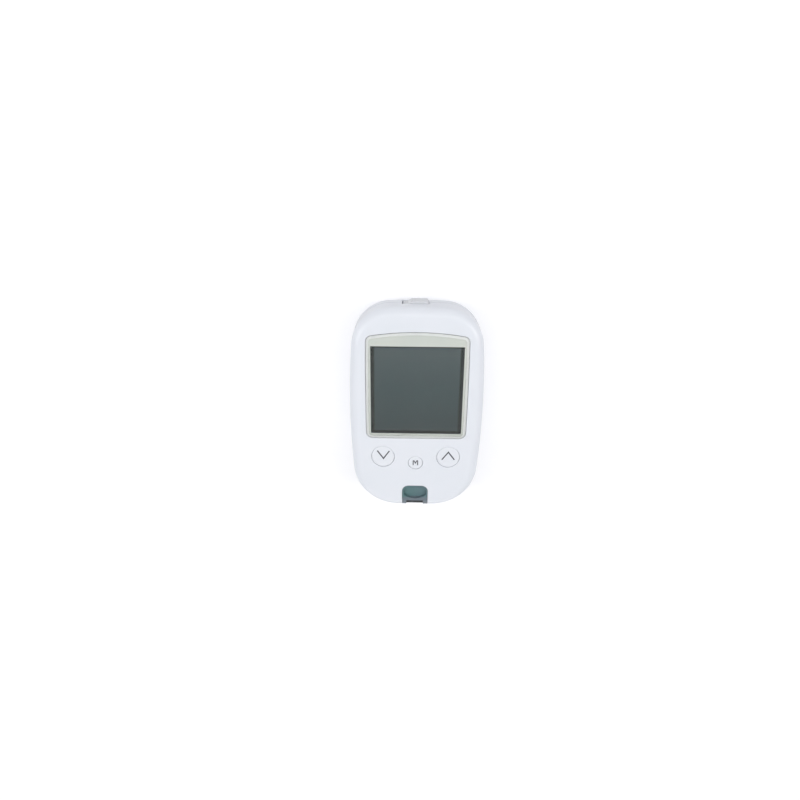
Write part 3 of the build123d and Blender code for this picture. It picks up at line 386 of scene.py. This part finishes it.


# switched-off liquid crystal glass: lighter towards the top, a painted reflection; a dark band inside its
# edge;
# and a painted reflection, a pale hairline along the band's lower run
def displayGlass(name, look):
    material, tree, shader = newMaterial(name)
    coords = objectCoords(tree)
    axes = objectAxes(tree, coords)
    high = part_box("lcd_panel")[1]
    middle = high.y - look["topMargin"] - look["halfLength"]
    bottom, top = middle - look["halfLength"], middle + look["halfLength"]
    # painted reflection: lighter towards the top
    lower = remap(tree, axes["Y"], bottom, middle, eased=False)
    upper = remap(tree, axes["Y"], middle, top, eased=False)
    colour = mixColours(tree, lower, screenColour(*look["low"]), screenColour(*look["centre"]))
    colour = mixColours(tree, upper, colour, screenColour(*look["high"]))
    # how far outside the active area, by the larger of the two directions
    sideways = calc(tree, "SUBTRACT", calc(tree, "ABSOLUTE", axes["X"]), look["activeHalfWidth"])
    fromMiddle = calc(tree, "ABSOLUTE", calc(tree, "SUBTRACT", axes["Y"], middle))
    along = calc(tree, "SUBTRACT", fromMiddle, look["activeHalfLength"])
    outside = calc(tree, "MAXIMUM", sideways, along)
    band = remap(tree, outside, -look["bandSoftness"], look["bandSoftness"])
    colour = mixColours(tree, band, colour, screenColour(*look["band"]))
    # painted reflection: a pale hairline along the band's lower run
    lineY = middle - look["activeHalfLength"] + look["lineInset"]
    fromLine = calc(tree, "ABSOLUTE", calc(tree, "SUBTRACT", axes["Y"], lineY))
    core = look["lineWidth"] * look["lineCore"]
    line = remap(tree, fromLine, look["lineWidth"], core, 0.0, look["line"])
    line = calc(tree, "MULTIPLY", line, remap(tree, sideways, look["bandSoftness"], -look["bandSoftness"]))
    colour = mixColours(tree, line, colour, screenColour(*look["lineColour"]))
    # the polariser has a very fine weave
    weave = noiseBetween(tree, coords, look["weaveSize"], 0.0, look["weave"], detail=1.0)
    colour = mixColours(tree, weave, colour, screenColour(*look["weaveColour"]))
    tree.links.new(colour, shader.inputs["Base Color"])
    roughness = noiseBetween(tree, coords, look["smearSize"], *look["roughness"])
    tree.links.new(roughness, shader.inputs["Roughness"])
    bumpInto(tree, shader, weave, look["weaveStrength"], look["weaveHeight"])
    setShader(shader, look["shader"])
    return material


lcdLook = {
    "low": (50, 64, 66),
    "centre": (60, 77, 79),
    "high": (79, 91, 93),
    "band": (12, 22, 19),
    "topMargin": 1.4 * mm,           # from the glass's upper end to the window's upper edge
    "halfLength": 20.3 * mm,         # half of the window
    "activeHalfWidth": 18.65 * mm,
    "activeHalfLength": 19.2 * mm,
    "bandSoftness": 0.35 * mm,
    "line": 0.3,
    "lineInset": 0.1 * mm,
    "lineWidth": 0.3 * mm,
    "lineCore": 0.3,                 # share of the width that has the line's full strength
    "lineColour": (128, 138, 138),
    "weave": 0.1,
    "weaveSize": 0.1 * mm,
    "weaveStrength": 0.05,
    "weaveHeight": 0.01 * mm,
    "weaveColour": (92, 104, 104),
    "roughness": (0.2, 0.25),
    "smearSize": 12 * mm,
    "shader": {"IOR": 1.5, "Specular IOR Level": 0.1},
}


# metal: brushed or plated, with fine marks, mostly along one direction
def plainMetal(name, look):
    material, tree, shader = newMaterial(name)
    coords = objectCoords(tree)
    tree.links.new(driftColour(tree, coords, look), shader.inputs["Base Color"])
    marks = noiseBetween(tree, coords, look["markSize"], *look["roughness"], stretch=look["stretch"])
    tree.links.new(marks, shader.inputs["Roughness"])
    bumpInto(tree, shader, marks, look["markStrength"], look["markHeight"], look["rounding"])
    setShader(shader, {"Metallic": 1.0})
    return material


steelLook = {
    "colour": (205, 207, 209),
    "shade": (188, 190, 193),
    "driftSize": 2 * mm,
    "roughness": (0.18, 0.34),
    "markSize": 0.15 * mm,
    "markStrength": 0.2,
    "markHeight": 0.01 * mm,
    "stretch": (1.0, 0.1, 1.0),
    "rounding": 0.05 * mm,
}
screwLook = dict(steelLook, colour=(170, 172, 175), shade=(150, 152, 156), stretch=(1.0, 1.0, 1.0))
goldLook = dict(steelLook, colour=(232, 196, 120), shade=(218, 178, 98), roughness=(0.2, 0.3))


# circuit board: solder mask over copper tracks that run along and across
def solderMask(name, look):
    material, tree, shader = newMaterial(name)
    coords = objectCoords(tree)
    layout = {"Vector": coords, "Scale": 1 / look["trackPitch"], **look["tracks"]}
    tracks = addNode(tree, "ShaderNodeTexBrick", layout)
    patches = noiseBetween(tree, coords, look["patchSize"], 0.0, 1.0)
    copper = calc(tree, "MULTIPLY", tracks.outputs["Fac"], patches)
    colour = mixColours(tree, copper, screenColour(*look["colour"]), screenColour(*look["trackColour"]))
    tree.links.new(colour, shader.inputs["Base Color"])
    roughness = noiseBetween(tree, coords, look["smearSize"], *look["roughness"])
    tree.links.new(roughness, shader.inputs["Roughness"])
    bumpInto(tree, shader, copper, look["trackStrength"], look["trackHeight"])
    return material


boardLook = {
    "colour": (28, 92, 58),
    "trackColour": (48, 124, 80),
    "trackPitch": 0.9 * mm,
    "tracks": {"Mortar Size": 0.12, "Mortar Smooth": 0.2, "Brick Width": 3.5, "Row Height": 1.0},
    "trackStrength": 0.4,
    "trackHeight": 0.03 * mm,
    "patchSize": 5 * mm,
    "roughness": (0.25, 0.4),
    "smearSize": 3 * mm,
}


# battery cell: printed sleeve with a band at the nub's end, bare metal at both ends
def cellSleeve(name, nodeName, nubUp, look):
    material, tree, shader = newMaterial(name)
    coords = objectCoords(tree)
    along = objectAxes(tree, coords)["Y"]
    low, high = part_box(nodeName)
    length = high.y - low.y
    fromNub = calc(tree, "SUBTRACT", high.y, along) if nubUp else calc(tree, "SUBTRACT", along, low.y)
    nearNub = remap(tree, fromNub, look["metalNub"] + look["edge"], look["metalNub"])
    nearFlat = remap(tree, fromNub, length - look["metalFlat"] - look["edge"], length - look["metalFlat"])
    metal = calc(tree, "MAXIMUM", nearNub, nearFlat)
    band = remap(tree, fromNub, look["band"] + look["edge"], look["band"])
    colour = mixColours(tree, band, driftColour(tree, coords, look), screenColour(*look["bandColour"]))
    colour = mixColours(tree, metal, colour, screenColour(*look["metalColour"]))
    tree.links.new(colour, shader.inputs["Base Color"])
    tree.links.new(metal, shader.inputs["Metallic"])
    roughness = noiseBetween(tree, coords, look["smearSize"], *look["roughness"])
    tree.links.new(roughness, shader.inputs["Roughness"])
    bumpInto(tree, shader, roughness, look["smearStrength"], look["smearHeight"])
    setShader(shader, look["shader"])
    return material


cellLook = {
    "metalNub": 1.5 * mm,            # bare length at the nub's end, and at the flat end
    "metalFlat": 0.25 * mm,
    "band": 9.5 * mm,                # from the nub's end
    "edge": 0.12 * mm,               # softness of the print's edges
    "colour": (196, 200, 204),
    "shade": (186, 190, 195),
    "driftSize": 6 * mm,
    "bandColour": (58, 66, 78),
    "metalColour": (206, 207, 208),
    "roughness": (0.22, 0.34),
    "smearSize": 4 * mm,
    "smearStrength": 0.05,
    "smearHeight": 0.02 * mm,
    "shader": {"Coat Weight": 0.4, "Coat Roughness": 0.1},
}


def dress(nodeName, material):
    node = nodes[nodeName]
    if not node.material_slots:
        node.data.materials.append(material)
    for slot in node.material_slots:
        slot.link = "OBJECT"
        slot.material = material


caseWhite = mouldedPlastic("caseWhite", caseLook)
keyWhite = mouldedPlastic("keyWhite", keyLook)
blackPlastic = mouldedPlastic("blackPlastic", blackLook)
plungerBrown = mouldedPlastic("plungerBrown", plungerLook)
brightSteel = plainMetal("brightSteel", steelLook)
finishOf = {
    "front_case": caseWhite,
    "rear_case": caseWhite,
    "battery_door": caseWhite,
    "key_down": keyWhite,
    "key_m": keyWhite,
    "key_up": keyWhite,
    "port_cover": mouldedPlastic("coverShadedWhite", coverLook),
    "strip_port": portPlastic("portTeal", portLook),
    "display_lens": clearWindow("clearWindow", windowLook),
    "lens_mask": inkPrint("windowPrint", maskLook),
    "lcd_panel": displayGlass("displayGlass", lcdLook),
    "lcd_reflector": mouldedPlastic("reflectorWhite", reflectorLook),
    "lcd_frame": blackPlastic,
    "zebra_strip": mouldedPlastic("zebraRubber", rubberLook),
    "circuit_board": solderMask("boardGreen", boardLook),
    "board_chips": blackPlastic,
    "buzzer": blackPlastic,
    "key_switches": blackPlastic,
    "plunger_down": plungerBrown,
    "plunger_m": plungerBrown,
    "plunger_up": plungerBrown,
    "strip_connector": blackPlastic,
    "socket_tongue": blackPlastic,
    "strip_contacts": plainMetal("contactGold", goldLook),
    "data_socket": brightSteel,
    "battery_springs": brightSteel,
    "battery_plates": brightSteel,
    "case_screws": plainMetal("screwSteel", screwLook),
    "cell_left": cellSleeve("cellSleeveLeft", "cell_left", True, cellLook),
    "cell_right": cellSleeve("cellSleeveRight", "cell_right", False, cellLook),
}
for nodeName, material in finishOf.items():
    dress(nodeName, material)
print("finishes on", len(finishOf), "nodes")


# puts a drawn shape into the scene as an object of its own
def addPiece(name, shape, material):
    mesh = bpy.data.meshes.new(name)
    shape.to_mesh(mesh)
    shape.free()
    mesh.materials.append(material)
    piece = bpy.data.objects.new(name, mesh)
    bpy.context.scene.collection.objects.link(piece)
    return piece


# painted shade in the strip's slot: a thin dark sheet over the mouth's floor, sides and roof,
# lofted from the slot's tunnel outwards; each ring is how far out it is, half width, floor and top
linerLook = {
    "sheet": 0.12 * mm,
    "tunnelHalf": 3.59 * mm,                             # half widths inside the slot, and at the mouth
    "mouthHalf": 3.89 * mm,
    "tunnel": (20.92 * mm, 22.08 * mm),                  # heights of its floor and its roof
    "tunnelEnds": (-40.1 * mm, -43.29 * mm),             # back and mouth, along Y
    "step": 0.01 * mm,                                   # from the tunnel's end to the wider mouth
    "flareTop": (-44.35 * mm, 23.95 * mm),               # where the roof ends, along Y and Z
    "frontEdge": (-44.1 * mm, 20.75 * mm, 3.45 * mm),    # middle and radius of the case's front edge
    "openRings": 8,
    "floorEnd": (-48.04 * mm, 20.61 * mm),               # where the floor's lip ends, along Y and Z
}


def buildMouthShade(name, body, material, look):
    floorHigh, roofLow = look["tunnel"]
    backY, mouthY = look["tunnelEnds"]
    flareY, flareZ = look["flareTop"]
    endY, endZ = look["floorEnd"]
    centreY, centreZ, radius = look["frontEdge"]
    rings = [
        (backY, look["tunnelHalf"], floorHigh, roofLow),
        (mouthY, look["tunnelHalf"], floorHigh, roofLow),
        (mouthY - look["step"], look["mouthHalf"], floorHigh, roofLow),
        (flareY, look["mouthHalf"], floorHigh, flareZ),
    ]
    roofed = len(rings)
    # past the roof the sides follow the case's rounded front edge
    for i in range(1, look["openRings"] + 1):
        y = flareY + (centreY - radius - flareY) * i / look["openRings"]
        rise = math.sqrt(max(radius ** 2 - (y - centreY) ** 2, 0))
        rings.append((y, look["mouthHalf"], floorHigh, max(centreZ + rise, floorHigh + look["sheet"])))
    rings.append((endY, look["mouthHalf"], floorHigh, floorHigh + look["sheet"]))
    shell = bmesh.new()
    loops = []
    for y, half, low, high in rings:
        corners = ((-half, high), (-half, low), (half, low), (half, high))
        loops.append([shell.verts.new((x, y, z)) for x, z in corners])
    for i in range(len(loops) - 1):
        sides = 4 if i + 1 < roofed else 3
        for j in range(sides):
            k = (j + 1) % 4
            shell.faces.new((loops[i][j], loops[i][k], loops[i + 1][k], loops[i + 1][j]))
    # the floor's lip turns down over the port's own sill
    sill = [shell.verts.new((x, endY, endZ)) for x in (-look["mouthHalf"], look["mouthHalf"])]
    shell.faces.new((loops[-1][1], loops[-1][2], sill[1], sill[0]))
    bmesh.ops.recalc_face_normals(shell, faces=shell.faces[:])
    liner = addPiece(name, shell, material)
    sheet = liner.modifiers.new("sheet", "SOLIDIFY")
    sheet.thickness = look["sheet"]
    sheet.offset = 0
    sheet.use_even_offset = True
    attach(liner, body)


# painted shade: the sheet's dark grey stands in for the shadow inside the mouth
linerFinish = dict(blackLook, colour=(80, 83, 87), shade=(50, 53, 56), roughness=(0.4, 0.5))
buildMouthShade("strip_mouth_shade", "case", mouldedPlastic("mouthShadeGrey", linerFinish), linerLook)
print("strip mouth shade lofted")

# silicone seal that closes the gap round a key, a little below the case's top; it is swept round the
# key's hole and follows the crown
sealLook = {
    "clearance": 0.01 * mm,          # from the key's side
    "bite": 0.16 * mm,               # from the key's side to inside the hole's wall
    "sunk": 0.34 * mm,
    "height": 0.5 * mm,
    "steps": 72,
    "probe": 0.55 * mm,              # where the case's top is felt for, outside the key's side
    "dropFrom": 5 * mm,              # rays that feel for the case start this far above the key
}


def buildSeal(name, keyNode, material, look):
    low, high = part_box(keyNode)
    middle = (low + high) / 2
    radius = (high.x - low.x) / 2
    case = BVHTree.FromObject(nodes["front_case"], bpy.context.evaluated_depsgraph_get())
    ring = bmesh.new()
    loops = []
    for i in range(look["steps"]):
        angle = 2 * math.pi * i / look["steps"]
        out = Vector((math.cos(angle), math.sin(angle), 0))
        felt = middle + out * (radius + look["probe"])
        felt.z = high.z + look["dropFrom"]
        top = case.ray_cast(felt, Vector((0, 0, -1)))[0].z - look["sunk"]
        inner = middle + out * (radius + look["clearance"])
        outer = middle + out * (radius + look["bite"])
        places = ((inner, top), (inner, top - look["height"]), (outer, top - look["height"]), (outer, top))
        loops.append([ring.verts.new((point.x, point.y, z)) for point, z in places])
    for i, loop in enumerate(loops):
        after = loops[(i + 1) % len(loops)]
        for j in range(4):
            k = (j + 1) % 4
            ring.faces.new((loop[j], loop[k], after[k], after[j]))
    bmesh.ops.recalc_face_normals(ring, faces=ring.faces[:])
    seal = addPiece(name, ring, material)
    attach(seal, "case")


sealFinish = dict(rubberLook, colour=(222, 225, 230), shade=(216, 219, 225), roughness=(0.55, 0.65))
sealSilicone = mouldedPlastic("sealSilicone", sealFinish)
for keyName in ("key_down", "key_m", "key_up"):
    buildSeal(keyName + "_seal", keyName, sealSilicone, sealLook)
print("key seals swept")


# closed outline of a stroke along a few points, with mitred corners and square ends
def strokeOutline(points, width):
    path = [Vector(point) for point in points]
    left, right = [], []
    for i, point in enumerate(path):
        before = (point - path[i - 1]).normalized() if i else None
        after = (path[i + 1] - point).normalized() if i + 1 < len(path) else None
        direction = ((before or after) + (after or before)).normalized()
        side = Vector((-direction.y, direction.x))
        square = Vector((-(before or after).y, (before or after).x))
        reach = width / 2 / side.dot(square)
        left.append(point + side * reach)
        right.append(point - side * reach)
    return left + right[::-1]


# a chevron as one stroke over its apex; its ends lie above or below it
def chevronOutline(look):
    leftEnd, rightEnd = look["ends"]
    return strokeOutline([leftEnd, look["apex"], rightEnd], look["stroke"])


# the capital M of a plain sans letter, drawn as one outline: its right half, then the mirrored half
def letterOutline(look):
    x, y = look["middle"]
    half, tall, stem = look["width"] / 2, look["height"] / 2, look["stem"]
    tip = tall - look["dip"] * look["height"]                 # lower tip of the V
    slope = (tall - tip) / (half - stem / 2)
    thick = look["slant"] * math.sqrt(1 + slope ** 2)         # upright thickness of a slanted stroke
    crease = tip + thick
    right = [
        (0, crease),
        ((tall - crease) / slope, tall),
        (half, tall),
        (half, -tall),
        (half - stem, -tall),
        (half - stem, tip + slope * (half - stem)),
        (0, tip),
    ]
    left = [(-px, py) for px, py in reversed(right[1:-1])]
    return [Vector((x + px, y + py)) for px, py in right + left]


# lays a flat outline on a key's top as a thin printed film, closed all round
def printMark(name, outline, keyNode, body, material, look):
    flat = bmesh.new()
    corners = [flat.verts.new((point.x, point.y, 0)) for point in outline]
    for triangle in tessellate_polygon([[(point.x, point.y, 0) for point in outline]]):
        flat.faces.new([corners[i] for i in triangle])
    # cut into small patches, so that the film can follow the key's dished top
    for axis in (0, 1):
        low = min(point[axis] for point in outline)
        high = max(point[axis] for point in outline)
        cuts = max(2, round((high - low) / look["patch"]))
        normal = [0, 0, 0]
        normal[axis] = 1
        for i in range(1, cuts):
            place = [0, 0, 0]
            place[axis] = low + (high - low) * i / cuts
            everything = flat.verts[:] + flat.edges[:] + flat.faces[:]
            bmesh.ops.bisect_plane(flat, geom=everything, plane_co=place, plane_no=normal)
    bmesh.ops.recalc_face_normals(flat, faces=flat.faces[:])
    if flat.faces[:][0].normal.z < 0:
        bmesh.ops.reverse_faces(flat, faces=flat.faces[:])
    top = BVHTree.FromObject(nodes[keyNode], bpy.context.evaluated_depsgraph_get())
    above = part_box(keyNode)[1].z + look["dropFrom"]
    for vertex in flat.verts:
        hit = top.ray_cast(Vector((vertex.co.x, vertex.co.y, above)), Vector((0, 0, -1)))[0]
        vertex.co.z = hit.z - look["sunk"]
    raised = bmesh.ops.extrude_face_region(flat, geom=flat.faces[:])["geom"]
    for item in raised:
        if isinstance(item, bmesh.types.BMVert):
            item.co.z += look["sunk"] + look["proud"]
    bmesh.ops.recalc_face_normals(flat, faces=flat.faces[:])
    mark = addPiece(name, flat, material)
    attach(mark, body)


filmLook = {
    "patch": 0.4 * mm,
    "sunk": 0.02 * mm,               # the film's two faces lie this far below and above the key's top
    "proud": 0.018 * mm,
    "dropFrom": 5 * mm,              # rays that feel for the key's top start this far above it
}
downMarkLook = {
    "apex": (-14.6 * mm, -22.55 * mm),
    "ends": ((-17.4 * mm, -18.5 * mm), (-11.9 * mm, -18.5 * mm)),
    "stroke": 0.55 * mm,
}
upMarkLook = {
    "apex": (14.86 * mm, -18.9 * mm),
    "ends": ((12.0 * mm, -22.75 * mm), (17.7 * mm, -22.77 * mm)),
    "stroke": 0.55 * mm,
}
modeMarkLook = {
    "middle": (-0.01 * mm, -24.45 * mm),
    "width": 2.45 * mm,
    "height": 2.5 * mm,
    "stem": 0.42 * mm,
    "slant": 0.4 * mm,
    "dip": 0.76,                     # share of the height that the V reaches down
}

markInk = inkPrint("markInk", markLook)
printMark("down_mark", chevronOutline(downMarkLook), "key_down", "down_key", markInk, filmLook)
printMark("up_mark", chevronOutline(upMarkLook), "key_up", "up_key", markInk, filmLook)
printMark("m_mark", letterOutline(modeMarkLook), "key_m", "mode_key", markInk, filmLook)
print("key marks printed")


floorLook = {
    "size": 3.0,
    "cells": 24,
    "drop": 0.05 * mm,               # below the meter's rear face
    "colour": (238, 238, 240),
    "shade": (235, 235, 238),
    "driftSize": 0.2,
    "lift": 0.24,                    # what the camera sees added to the paper, so that it reaches white
    "contact": 1.5 * mm,             # the paper lets light through to whatever lies this close on it
    "opening": (19 * mm, 38 * mm),   # half sizes of the part under the rear face that always does
    "shader": {"Roughness": 0.9, "Specular IOR Level": 0.1},
}


# white paper; from below it isn't there, so that the meter's back can be looked at, and it doesn't
# darken the back
def floorPaper(name, look):
    material, tree, shader = newMaterial(name)
    coords = objectCoords(tree)
    tree.links.new(driftColour(tree, coords, look), shader.inputs["Base Color"])
    setShader(shader, look["shader"])
    path = addNode(tree, "ShaderNodeLightPath")
    seen = calc(tree, "MULTIPLY", path.outputs["Is Camera Ray"], look["lift"])
    glow = addNode(tree, "ShaderNodeEmission", {"Strength": seen})
    both = addNode(tree, "ShaderNodeAddShader")
    tree.links.new(shader.outputs["BSDF"], both.inputs[0])
    tree.links.new(glow.outputs["Emission"], both.inputs[1])
    side = addNode(tree, "ShaderNodeNewGeometry")
    close = calc(tree, "LESS_THAN", path.outputs["Ray Length"], look["contact"])
    axes = objectAxes(tree, coords)
    inside = [
        calc(tree, "LESS_THAN", calc(tree, "ABSOLUTE", axes[axis]), reach)
        for axis, reach in zip("XY", look["opening"])
    ]
    lit = calc(tree, "MAXIMUM", close, calc(tree, "MULTIPLY", *inside))
    fromMeter = calc(tree, "SUBTRACT", lit, path.outputs["Is Camera Ray"], clamp=True)
    gone = calc(tree, "MAXIMUM", side.outputs["Backfacing"], fromMeter)
    clear = addNode(tree, "ShaderNodeBsdfTransparent")
    pick = addNode(tree, "ShaderNodeMixShader", {"Fac": gone})
    tree.links.new(both.outputs["Shader"], pick.inputs[1])
    tree.links.new(clear.outputs["BSDF"], pick.inputs[2])
    tree.links.new(pick.outputs["Shader"], tree.nodes["Material Output"].inputs["Surface"])
    return material


def buildFloor(look):
    sheet = bmesh.new()
    bmesh.ops.create_grid(sheet, x_segments=look["cells"], y_segments=look["cells"], size=look["size"] / 2)
    floor = addPiece("floor", sheet, floorPaper("floorPaper", look))
    floor.location.z = -look["drop"]


worldLook = {"light": 0.5, "seen": 1.0}      # strength that lights the meter, and that the camera sees


def buildWorld(look):
    world = bpy.data.worlds.new("studio")
    bpy.context.scene.world = world
    world.use_nodes = True
    tree = world.node_tree
    background = tree.nodes["Background"]
    background.inputs["Color"].default_value = (1.0, 1.0, 1.0, 1.0)
    path = addNode(tree, "ShaderNodeLightPath")
    seen = calc(tree, "MAXIMUM", path.outputs["Is Camera Ray"], path.outputs["Is Transmission Ray"])
    strength = remap(tree, seen, 0.0, 1.0, look["light"], look["seen"], eased=False)
    tree.links.new(strength, background.inputs["Strength"])


lampAim = (0.0, 0.0, 20 * mm)


# a soft box that looks at the meter's middle
def softBox(name, look):
    lamp = bpy.data.lights.new(name, "AREA")
    lamp.shape = "RECTANGLE"
    lamp.size, lamp.size_y = look["size"]
    lamp.energy = look["power"]
    box = bpy.data.objects.new(name, lamp)
    bpy.context.scene.collection.objects.link(box)
    box.location = look["place"]
    aim = Vector(lampAim) - Vector(look["place"])
    box.rotation_euler = aim.to_track_quat("-Z", "Y").to_euler()


softBoxes = {
    "above": {"place": (0.0, 0.45, 1.2), "size": (1.4, 0.9), "power": 4.4},
    "front": {"place": (-0.1, -1.3, 0.42), "size": (1.2, 0.4), "power": 2.5},
    "leftFill": {"place": (-0.8, 0.15, 0.75), "size": (0.4, 0.6), "power": 2.8},
    "rightFill": {"place": (0.8, 0.15, 0.75), "size": (0.4, 0.6), "power": 2.8},
    "below": {"place": (0.0, 0.0, -1.2), "size": (1.4, 1.4), "power": 3.5},
}

# where the meter is looked at from: tilt is towards the top end, pixels are in an 800 x 800 picture
cameraLook = {
    "tilt": 22.0,
    "roll": -0.467,
    "yaw": 0.7255,
    "distance": 289.185 * mm,
    "target": (0.0, 0.0, 13.0 * mm),
    "targetPixel": (416.125, 402.961),
    "picture": 800,
    "fieldOfView": 65.0,
    "sensor": 36.0,
    "near": 0.01,
    "far": 20.0,
}


def buildCamera(look):
    tilt, roll, yaw = (math.radians(look[key]) for key in ("tilt", "roll", "yaw"))
    back = Vector((math.sin(yaw) * math.cos(tilt), math.sin(tilt), math.cos(yaw) * math.cos(tilt)))
    right = Vector((0, 1, 0)).cross(back).normalized()
    up = back.cross(right)
    turnedRight = right * math.cos(roll) - up * math.sin(roll)
    turnedUp = up * math.cos(roll) + right * math.sin(roll)
    half = look["picture"] / 2
    halfTangent = math.tan(math.radians(look["fieldOfView"] / 2))
    sideways = (look["targetPixel"][0] - half) / half * halfTangent * look["distance"]
    upwards = (half - look["targetPixel"][1]) / half * halfTangent * look["distance"]
    place = Vector(look["target"]) - turnedRight * sideways - turnedUp * upwards + back * look["distance"]
    data = bpy.data.cameras.new("camera")
    data.sensor_width = look["sensor"]
    data.lens = look["sensor"] / 2 / halfTangent
    data.clip_start, data.clip_end = look["near"], look["far"]
    camera = bpy.data.objects.new("camera", data)
    bpy.context.scene.collection.objects.link(camera)
    turn = Matrix((turnedRight, turnedUp, back)).transposed().to_4x4()
    camera.matrix_world = Matrix.Translation(place) @ turn
    bpy.context.scene.camera = camera


buildFloor(floorLook)
buildWorld(worldLook)
for boxName, boxLook in softBoxes.items():
    softBox(boxName, boxLook)
buildCamera(cameraLook)
bpy.context.scene.view_settings.view_transform = "Standard"
print("stage, lights and camera ready")

bpy.context.view_layer.update()
